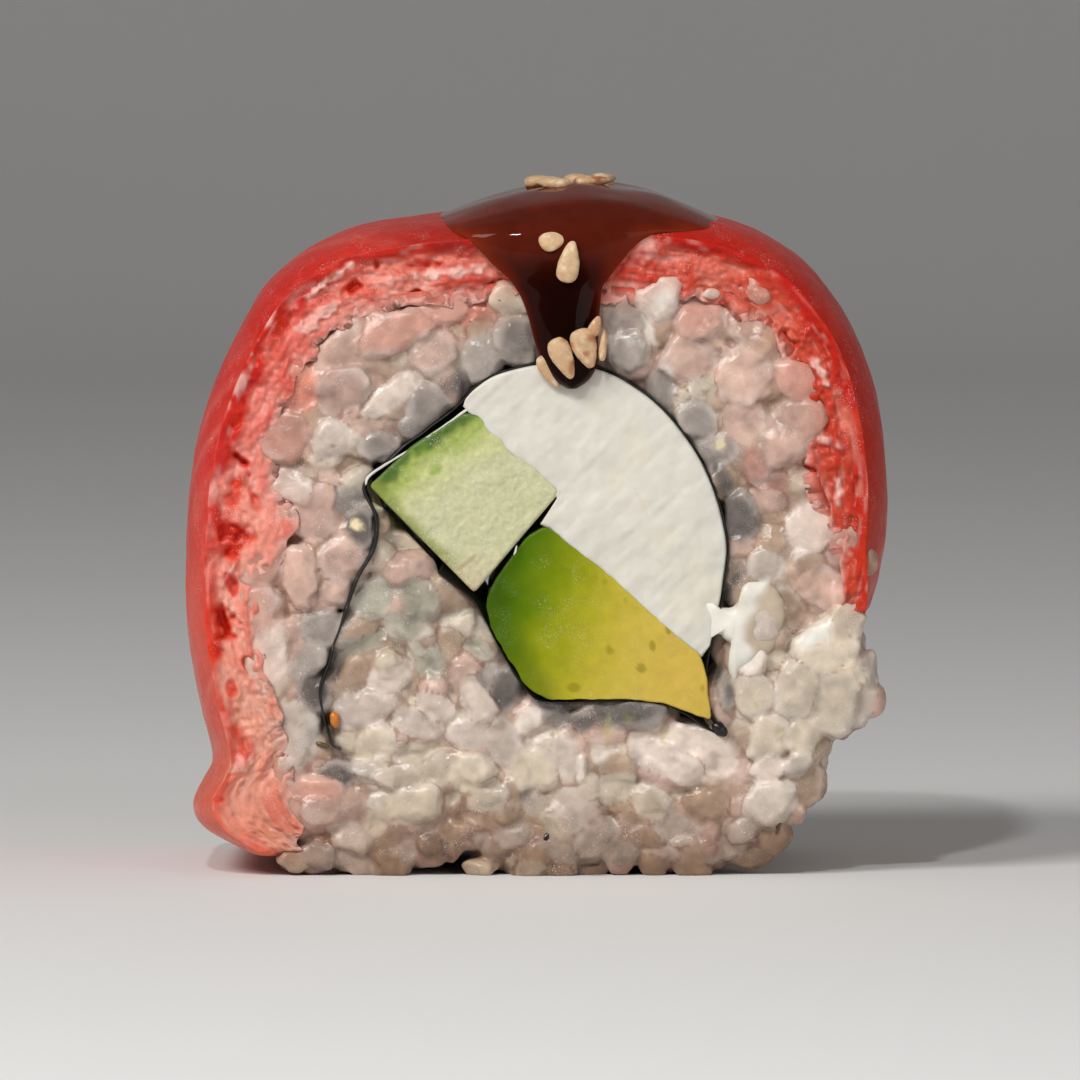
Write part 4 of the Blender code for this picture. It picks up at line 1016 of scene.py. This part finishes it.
def melted(points, faces, voxel, keep):
    """Points and faces after a voxel remesh, a smoothing and a thinning to about that many triangles."""
    mesh = bpy.data.meshes.new("raw_rice")
    mesh.from_pydata((points * MM).tolist(), [], faces.tolist())
    obj = bpy.data.objects.new("raw_rice", mesh)
    bpy.context.scene.collection.objects.link(obj)
    remesh = obj.modifiers.new("melt", "REMESH")
    remesh.mode, remesh.voxel_size = "VOXEL", voxel * MM
    smooth = obj.modifiers.new("round", "SMOOTH")
    smooth.factor, smooth.iterations = 0.5, 1
    made = bpy.data.meshes.new_from_object(obj.evaluated_get(bpy.context.evaluated_depsgraph_get()))
    full = sum(len(face.vertices) - 2 for face in made.polygons)
    thin = obj.modifiers.new("thin", "DECIMATE")
    thin.ratio = min(1.0, keep / full)
    made = bpy.data.meshes.new_from_object(obj.evaluated_get(bpy.context.evaluated_depsgraph_get()))
    bpy.data.objects.remove(obj)
    print("remesh gave", full, "triangles, thinned to", sum(len(face.vertices) - 2 for face in made.polygons))
    return made


# %% Colours of the rice
GERMS = placed([(356.6, 525, 8, 8, 70, 1.0), (719, 444, 7, 6, 60, 0.7)])
STAINS = placed([(755, 705, 7, 4, 10, 1.0), (780, 730, 4, 4, 0, 0.8), (608, 730, 5, 16, 0, 0.7),
                 (576, 702, 8, 6, 20, 0.8), (664, 735, 5, 14, 0, 0.5), (628, 718, 4, 10, 0, 0.4)])
SMEARED = placed([(812, 638, 28, 10, 42, 1.0), (758, 598, 26, 14, 35, 0.9), (738, 620, 28, 15, 15, 1.0),
                  (736, 655, 7, 26, 8, 0.9), (745, 664, 14, 4, 25, 0.9), (662, 300, 18, 16, 30, 0.6),
                  (650, 335, 5, 26, 20, 0.6), (668, 372, 16, 4, -50, 0.6), (628, 340, 14, 3, -20, 0.5)])
BROWN_SPECKS = placed([(359, 418, 5, 1.2, -25, 1.0), (333, 446, 1.5, 1.5, 0, 0.9), (263, 716, 6, 6, 0, 0.6),
                       (682, 855, 2.5, 2.5, 0, 0.8), (306, 465, 7, 4, 30, 0.5), (705, 395, 4, 3, 0, 0.7)])


def rice_tints(points, middles, axes, sizes, tones, cut):
    """For each point, its grains' tones weighted by exp(-5 f^2), where f = 1 on a grain's skin.

    For a cut grain f is measured in the plane of the cut, its rim is a little paler than its middle as a
    painted highlight, and the seam between two grains is darker as painted shade. Then comes the place: rice
    by the fish is stained pink, rice by the nori is greyer, and what lies deep between grains or low down is
    warm and dark, which is painted shade.
    """
    total = np.tile(screen(*TONES["beige"]) * 1e-6, (len(points), 1))
    weight, rim, best = np.full(len(points), 1e-6), np.zeros(len(points)), np.zeros(len(points))
    for number, (middle, turn, size, tone) in enumerate(zip(middles, axes, sizes, tones)):
        near = np.flatnonzero(np.all(np.abs(points - middle) < size.max() * 1.5, axis=1))
        local = (points[near] - middle) @ turn.T / size
        level = np.sum(local**2, axis=1)
        if cut[number]:
            plane = local[:, 0] ** 2 + local[:, 1] ** 2
            level = plane + 9 * np.clip(np.abs(local[:, 2]) - 1, 0, None) ** 2
            rim[near] += np.exp(-5 * level) * ease(np.sqrt(plane), 0.55, 0.95)
        share = np.exp(-5 * level)
        total[near] += share[:, None] * tone
        weight[near] += share
        best[near] = np.maximum(best[near], share)
    tint = total / weight[:, None] * (1 + 0.22 * noise(points, 0.9) + 0.15 * noise(points, 0.4))[:, None]
    # Painted highlight: the rims of cut grains are mixed toward white, for light scattered at their edges.
    rim = 0.40 * np.clip(rim / weight, 0, 1) * ease(noise(points + 3, 1.3), -0.6, 0.4)
    tint = blend(tint, screen(246, 238, 232), rim)
    # Painted shade: the seams between grains are darkened, here and there.
    painted_seam_shade = ease(1 - best / weight, 0.36, 0.5) * (0.35 + 0.65 * ease(noise(points + 70, 1.2), -0.3, 0.5))
    tint = tint * (1 - np.outer(painted_seam_shade, (0.36, 0.48, 0.52)))
    tint = tint * np.array([0.80, 0.76, 0.73])
    flat = points[:, [0, 2]]
    to_fish = nearest_on(flat, fish_inner[::10])[1]
    to_nori = nearest_on(flat, nori_path[::6])[1]
    tint = blend(tint, screen(214, 128, 108), 0.45 * np.exp(-to_fish / 1.1))
    tint = blend(tint, screen(130, 124, 122), 0.25 * np.exp(-to_nori / 0.9))
    # Painted shade: points deep between the grains, away from the cut faces and the bare side, are made warm
    # and dark.
    deep = np.minimum(points[:, 1] + HALF, HALF - points[:, 1])
    side = np.minimum(nearest_on(flat, bare_line)[1], 4.0)
    painted_recess_shade = ease(np.minimum(deep, np.where(side < 3.0, side, 9.0)), 0.8, 3.2)
    tint = tint * (1 - painted_recess_shade[:, None] * np.array([0.30, 0.46, 0.58]))
    # Painted shade: the rice low down, away from the light above, is darker and warmer.
    tint = tint * (1 - (1 - ease(points[:, 2], 1.0, 8.5))[:, None] * np.array([0.42, 0.50, 0.55]))
    front = points[:, 1] < 0
    tint = blend(tint, screen(236, 234, 226), spots(points, SMEARED, 0.5, 0.8, 0.5) * front)
    tint = blend(tint, screen(236, 222, 180), spots(points, GERMS) * front)
    tint = blend(tint, screen(176, 176, 92), spots(points, STAINS) * 0.55 * front)
    return blend(tint, screen(120, 78, 40), spots(points, BROWN_SPECKS) * 0.8 * front)


# %% The rice
def build_rice(name, chosen, grains, core_span, voxel, keep, skin):
    """Melts the chosen grains and a core, keeps the skin off the filling and the floor, and colours it."""
    middles, axes, sizes, tones, cut = grains
    shells, faces = pillow_shells(*(part[chosen] for part in (middles, axes, sizes, cut)))
    core, core_faces = rice_core(*core_span)
    mesh = melted(np.vstack([shells, core]), np.vstack([faces, core_faces + len(shells)]), voxel, keep)
    points = np.zeros(len(mesh.vertices) * 3, np.float32)
    mesh.vertices.foreach_get("co", points)
    points = points.reshape(-1, 3).astype(float) / MM
    normals = np.zeros(len(mesh.vertices) * 3, np.float32)
    mesh.vertices.foreach_get("normal", normals)
    points += normals.reshape(-1, 3) * (0.05 * noise(points, 0.7) + 0.05 * noise(points, 0.35))[:, None]
    flat = points[:, [0, 2]]
    within = inside(flat, hole)
    flat[within] = nearest_on(flat[within], hole_ring)[0]
    points[:, 0], points[:, 2] = flat[:, 0], np.maximum(flat[:, 1], STANDS_AT)
    points[:, 1] = np.clip(points[:, 1], -HALF, HALF)
    tint = rice_tints(points, middles, axes, sizes, tones, cut)
    mesh.vertices.foreach_set("co", ((points + SHIFT) * MM).astype(np.float32).ravel())
    set_tint(mesh, tint)
    mesh.polygons.foreach_set("use_smooth", np.ones(len(mesh.polygons), bool))
    mesh.materials.append(skin)
    made = bpy.data.objects.new(name, mesh)
    bpy.context.scene.collection.objects.link(made)
    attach(made, "root")
    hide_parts("rice")
    print(name, "melts", int(np.sum(chosen)), "grains into", len(mesh.polygons), "faces")
    return made


rice_skin = food("cooked_rice", (0.14, 0.42), 0.03, 0.25, mottle=0.08, mottle_cell=0.7, under=0.3,
                 deep=(1.0, 0.7, 0.55), specks_and_glints=(0.6, 0.10), IOR=1.42)
grains = all_grains()
in_front = grains[0][:, 1] < -2.0
build_rice("rice_grains", in_front, grains, (-10.6, -1.0), 0.17, 196000, rice_skin)
build_rice("rice_behind", ~in_front, grains, (-2.0, 11.7), 0.22, 150000, rice_skin)

# %% [markdown]
# ## Glaze and sesame
# The glaze is a thick sauce that pooled on top and ran over the edge. It is one sheet carried along the
# way it ran: over the top, round the shoulder and down the face, with a round back and thin edges. Where
# it is thin it turns red brown, because the fish shows through. The sesame seeds are flattened drops,
# toasted to different browns.

# %% The run of the glaze
GLAZE_TOP = [
    (10.6, 2.4, 5.0, 0.3), (9.4, -2.6, 8.6, 0.9), (5.0, -5.8, 11.8, 1.3), (-1.0, -6.8, 13.0, 1.35),
    (-7.0, -6.7, 13.0, 1.3), (-11.0, -6.4, 12.4, 1.0), (-12.7, -5.9, 10.8, 0.75),
    (-13.75, -5.0, 8.2, 0.55),
]
GLAZE_FACE = [
    (45.4, -4.0, 6.9, 0.5), (44.4, -3.1, 6.2, 0.5), (43.4, -2.1, 5.4, 0.55), (42.5, -1.5, 4.7, 0.7),
    (41.5, -1.0, 4.55, 0.8), (40.2, -0.5, 4.5, 0.95), (38.4, 0.0, 4.45, 1.05), (36.9, 0.6, 4.35, 1.1),
    (35.9, 1.3, 3.8, 0.95), (35.3, 2.2, 3.0, 0.4),
]
top_line = fish_outer[(np.abs(fish_outer[:, 0]) < 18) & (fish_outer[:, 1] > 40)]


def top_height(x):
    """Height of the fish's outer line over x."""
    return np.interp(x, top_line[:, 0], top_line[:, 1])


def build_glaze():
    """Underside on the food, outer side at thickness times (1 - u^2)^p across, stations along the run.

    p is 0.6 on the face, where the drip is round, and 1.15 on top, where the sauce thins out to nothing.
    """
    crown = float(top_height(3.0))
    knots = [(y, crown - shoulder_drop(y), left, right, thick) for y, left, right, thick in GLAZE_TOP]
    knots += [(-HALF, z, left, right, thick) for z, left, right, thick in GLAZE_FACE]
    run = resample(through(knots, 10), 190)
    normals = -left_normals(run[:, :2])
    u = np.sin(np.linspace(-1, 1, 71) * math.pi / 2)
    left, right, thick = run[:, 2:3], run[:, 3:4], run[:, 4:5]
    wander = 0.22 * noise(np.column_stack([run[:, 1], run[:, 0], 0 * run[:, 0]]), 2.2)[:, None]
    x = (left + right) / 2 + u[None] * (right - left) / 2 + wander * np.abs(u[None])
    follow = ease(run[:, 1:2], 41.0, 45.8)
    z = run[:, 1:2] + (top_height(x) - crown) * follow
    base = np.stack([x, run[:, 0:1] + 0 * x, z], axis=-1)
    outwards = np.stack([0 * normals[:, 0], normals[:, 0], normals[:, 1]], axis=1)[:, None]
    swell = np.clip(1 - u**2, 0, 1)[None] ** (0.6 + 0.55 * ease(run[:, :1], -13.6, -11.0))
    soft = 1 + 0.10 * noise(base, 3.0)
    tall = 0.04 + (0.40 + thick) * swell * soft
    over = base + outwards * tall[..., None]
    under = base - outwards * 0.45
    rings = np.concatenate([over, under[:, ::-1]], axis=1)
    depth = np.concatenate([tall, tall[:, ::-1]], axis=1)
    shade = along_colours(np.clip(depth / 1.6, 0, 1), [
        (0.0, 140, 46, 14), (0.2, 104, 28, 8), (0.4, 58, 13, 4), (0.65, 34, 7, 3), (1.0, 22, 4, 2)])
    # Painted sheen: the sauce over the top and round the crown is lighter, as where it catches the light at a
    # grazing angle; below the crown the run is made darker.
    shade = blend(shade, screen(108, 32, 16), 0.6 * ease(rings[..., 1], -13.7, -10.5))
    shade = blend(shade, screen(102, 34, 20), 0.5 * ease(rings[..., 2], 43.6, 45.6))
    shade = shade * (1 - 0.45 * ease(rings[..., 2], 44.5, 42.5))[..., None]
    rings = capped(rings)
    shade = np.concatenate([shade[:1], shade, shade[-1:]])
    skin = food("dark_glaze", (0.03, 0.07), 0.004, 2.0, mottle=0.2, mottle_cell=2.0, under=0.0, IOR=1.16)
    made = piece("glaze_run", rings, ring_faces(rings), skin, "glaze", shade)
    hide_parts("glaze")
    return made


build_glaze()

# %% Sesame
# On the face: px, py, turn of the point from X in degrees, half length in mm, share of toast, width by
# length, how far in front of the cut in mm. On top: x, y, turn, share of toast.
SEEDS = [
    (555, 239, 25, 1.2, 0.35, 0.78, 1.35), (569, 262, 80, 1.5, 0.15, 0.62, 1.35),
    (563, 358, -66, 1.55, 0.55, 0.60, 1.55), (585, 348, -72, 1.45, 0.55, 0.74, 1.55),
    (595, 326, 70, 0.75, 1.6, 0.7, 1.55), (549, 372, -60, 1.3, 0.7, 0.5, 0.35),
    (603, 345, 85, 1.1, 0.5, 0.3, 1.55),
]
TOP_SEEDS = [
    (1.2, -6.0, 140, 0.5), (0.6, 2.2, 15, 0.4), (4.1, -4.4, 30, 1.0), (2.8, 9.0, 110, 0.2),
    (4.9, 4.6, 60, 0.5),
]


SEED_ROWS, SEED_COLUMNS = 26, 28


def seed_shell(middle, way, out, length, toast, tag, wide=0.64):
    """A drop: radius sin(t)^0.75 (0.80 - 0.30 cos(t)) round its long axis, flattened along out."""
    t = np.linspace(0, math.pi, SEED_ROWS)[:, None]
    s = np.linspace(0, 2 * math.pi, SEED_COLUMNS + 1)[None, :-1]
    radius = np.sin(t) ** 0.75 * (0.80 - 0.30 * np.cos(t))
    way, beside, out = upright(np.array(way, float), np.array(out, float))
    points = (np.array(middle) + (np.cos(t) * length + 0 * s)[..., None] * way
              + (radius * np.cos(s) * length * wide)[..., None] * beside
              + (radius * np.sin(s) * length * 0.36)[..., None] * out)
    points = points + 0.03 * noise(points + tag * 13, 0.35)[..., None]
    spot = ease(noise(points + tag * 7, 0.55), 0.15, 0.7)
    toasted = np.clip(toast * (0.3 + 1.4 * spot), 0, 1)
    colour = blend(screen(208, 176, 136) + 0 * points, screen(168, 100, 56), toasted)
    colour = blend(colour, screen(236, 220, 196), 0.5 * ease(noise(points + tag, 0.3), 0.2, 0.8))
    return points, colour


def build_seeds():
    """All the seeds of the glaze as one piece."""
    shells = []
    for tag, (px, py, turn, length, toast, wide, stand) in enumerate(SEEDS):
        x, z = drawn(px, py)
        angle = math.radians(turn)
        lean = 0.55 * float(ease(z, 43.5, 46.5))
        middle = (x, -HALF - stand + lean * 1.4, z)
        way = (math.cos(angle), lean * 0.5, math.sin(angle))
        shells.append(seed_shell(middle, way, (0, -1, lean), length, toast, tag, wide))
    for tag, (x, y, turn, toast) in enumerate(TOP_SEEDS):
        angle = math.radians(turn)
        sauce = 0.04 + 1.7 * max(0.0, 1 - ((x - 3) / 10) ** 2) ** 1.15
        z = float(top_height(x)) - float(shoulder_drop(y)) + sauce + 0.2
        way = (math.cos(angle), math.sin(angle), 0.05)
        shells.append(seed_shell((x, y, z), way, (0, 0, 1), 1.5, toast, tag + 9))
    points = np.concatenate([shell.reshape(-1, 3) for shell, _ in shells])
    tint = np.concatenate([colour.reshape(-1, 3) for _, colour in shells])
    faces = many_faces(len(shells), SEED_ROWS, SEED_COLUMNS)
    skin = food("toasted_sesame", (0.4, 0.6), 0.05, 0.25, mottle=0.12, mottle_cell=0.4, under=0.15,
                deep=(0.5, 0.3, 0.2))
    return piece("sesame_seeds", points, faces, skin, "glaze", tint)


build_seeds()

# %% [markdown]
# ## Small leavings
# A knife that goes through cheese and roe leaves a little of each on what it cuts next: smears of cheese
# along the cucumber and the avocado, a film of it on the rice, one grain of roe, and flakes of nori. The
# smears are thin tubes along short curves, the film is a flat lens inside an outline, and the loose bits
# are small lumps.

# %% Cheese that the knife dragged along
# Each smear: points (px, py), then its radius in mm at the start, the middle and the end
SMEARS = [
    ([(366, 486), (370, 476), (392, 461), (416, 446)], 0.12, 0.08, 0.05),
    ([(412, 448), (440, 429), (474, 405)], 0.06, 0.05, 0.11),
    ([(517, 545), (513, 565), (506, 600)], 0.08, 0.09, 0.04),
]
# Outline of the film, px and py
FILM = [
    (694, 596), (706, 600), (715, 604), (722, 607), (729, 608), (735, 605), (739, 598), (743, 586),
    (754, 582), (769, 583), (778, 590), (784, 604), (784, 620), (779, 635), (773, 648), (764, 656),
    (755, 664), (745, 668), (739, 675), (734, 684), (730, 676), (728, 664), (731, 652), (728, 642),
    (721, 636), (713, 636), (706, 641), (696, 646), (689, 633), (688, 613),
]
# Where the film turns from white to the look of the grain under it: py, then px
FILM_WHITE = [(580, 768), (600, 757), (612, 751), (625, 746), (640, 744), (655, 756), (668, 748), (690, 745)]


def tube(line, radii):
    """Closed rings round a curve: radius(s) between the given radii, half as deep as wide, ends round."""
    path = resample(through([drawn(*spot) for spot in line], 12), 34)
    share = np.linspace(0, 1, len(path))
    radius = np.interp(share, (0, 0.5, 1), radii) * np.sqrt(1 - np.abs(2 * share - 1) ** 6)
    s = np.linspace(0, 2 * math.pi, 19)[None, :-1]
    here = np.stack([path[:, :1] + 0 * s, path[:, 1:] + 0 * s, 3 * np.cos(s) + 0 * path[:, :1]], axis=-1)
    rough = 1 + 0.3 * noise(here, 0.6)
    flat = path[:, None] + left_normals(path)[:, None] * (radius[:, None] * np.cos(s) * rough)[..., None]
    return lifted(flat, -HALF + 0.12 - radius[:, None] * np.sin(s) * 0.5 * rough)


def film():
    """A thin lens: rings from a middle out to the outline, proud of the cut by 0.12 sqrt(1 - t^4).

    Its edge is sunk in, and its left end dips under the cheese it comes from.
    """
    outline = resample(through([drawn(*spot) for spot in FILM + FILM[:1]], 8), 160)
    outline = outline + 0.09 * noise(np.column_stack([outline, 0 * outline[:, 0]]), 0.5)[:, None]
    in_front = 26
    t = np.concatenate([np.linspace(0, 1, in_front), np.linspace(0.96, 0, 5)])
    middle = drawn(734, 622)
    flat = middle + t[:, None, None] * (outline - middle)[None]
    here = lifted(flat, 0.0)
    px = flat[..., 0] * PX + PICTURE_X
    dip = 0.45 * ease(px, 716, 698) + 0.16 * ease(px, 744, 764)
    wave = 0.10 * noise(here, 0.9) + 0.16 * noise(here, 1.8)
    front = -HALF - 0.12 * np.sqrt(1 - t**4)[:, None] + 0.5 * (t**6)[:, None] + dip + wave
    return lifted(flat, np.where(np.arange(len(t))[:, None] < in_front, front, -HALF + 0.9))


def build_smears():
    """Every smear and film of cheese as one piece."""
    shells = [tube(line, radii) for line, *radii in SMEARS] + [film()]
    faces, count = [], 0
    for shell in shells:
        faces.append(ring_faces(shell) + count)
        count += shell.shape[0] * shell.shape[1]
    points = np.concatenate([shell.reshape(-1, 3) for shell in shells])
    white = np.array([drawn(px, py) for py, px in reversed(FILM_WHITE)])
    past = points[:, 0] - np.interp(points[:, 2], white[:, 1], white[:, 0]) + 0.25 * noise(points, 0.7)
    tint = blend(screen(232, 227, 217) + 0 * points, screen(196, 178, 156), ease(past, -0.4, 0.6))
    tint = blend(tint, screen(214, 204, 182), ease(noise(points, 0.9), 0, 0.9) * 0.6)
    skin = food("smeared_cheese", (0.25, 0.5), 0.04, 0.4, mottle=0.06, under=0.2, deep=(1.2, 1.0, 0.7),
                IOR=1.35)
    return piece("cheese_smears", points, np.concatenate(faces), skin, "cream_cheese", tint)


build_smears()


# %% Roe and crumbs
LUMP_ROWS, LUMP_COLUMNS = 12, 14


def lump(middle, sizes, turn, tag):
    """A small lump: an ellipsoid with half sizes along its turned X, Y and Z, roughened by noise."""
    t = np.linspace(0, math.pi, LUMP_ROWS)[:, None]
    s = np.linspace(0, 2 * math.pi, LUMP_COLUMNS + 1)[None, :-1]
    a = np.cos(t) * sizes[0] + 0 * s
    b = np.sin(t) * np.cos(s) * sizes[1]
    c = np.sin(t) * np.sin(s) * sizes[2]
    way = np.array([math.cos(math.radians(turn)), 0, math.sin(math.radians(turn))])
    up = np.array([-way[2], 0, way[0]])
    points = np.array(middle) + a[..., None] * way + b[..., None] * np.array([0, 1, 0]) + c[..., None] * up
    return points + 0.05 * noise(points + tag * 5, 0.3)[..., None]


def build_crumbs():
    """One grain of roe, flakes of nori and dark green shreds, as one piece."""
    # px, py, half sizes in mm, turn in degrees, y in the drawing, colour
    rows = [
        (335, 720, (0.6, 0.3, 0.34), 100, -13.4, (196, 118, 40)),
        (545, 841, (0.7, 0.3, 0.35), 55, -12.9, (44, 24, 12)),
        (538, 853, (0.5, 0.3, 0.25), 60, -12.9, (38, 22, 12)),
        (590, 866, (0.7, 0.25, 0.14), 5, -13.4, (60, 40, 28)),
        (778, 829, (0.5, 0.2, 0.16), 70, -13.2, (96, 62, 42)),
        (500, 585, (0.55, 0.4, 0.4), 30, -12.6, (40, 62, 22)),
        (719.5, 729.5, (0.66, 0.4, 0.46), -42, -13.62, (18, 15, 12)),
        (492, 592, (0.4, 0.3, 0.3), 80, -12.8, (52, 70, 26)),
        (323, 745, (0.5, 0.2, 0.2), -20, -13.6, (96, 78, 40)),
    ]
    shells, tints = [], []
    for tag, (px, py, sizes, turn, y, tone) in enumerate(rows):
        x, z = drawn(px, py)
        shell = lump((x, y, z), sizes, turn, tag).reshape(-1, 3)
        shells.append(shell)
        tints.append(screen(*tone) + 0 * shell)
    faces = many_faces(len(shells), LUMP_ROWS, LUMP_COLUMNS)
    skin = food("crumbs", (0.15, 0.35), 0.04, 0.3, mottle=0.2, mottle_cell=0.3, under=0.1)
    return piece("crumbs", np.concatenate(shells), faces, skin, "glaze", np.concatenate(tints))


build_crumbs()
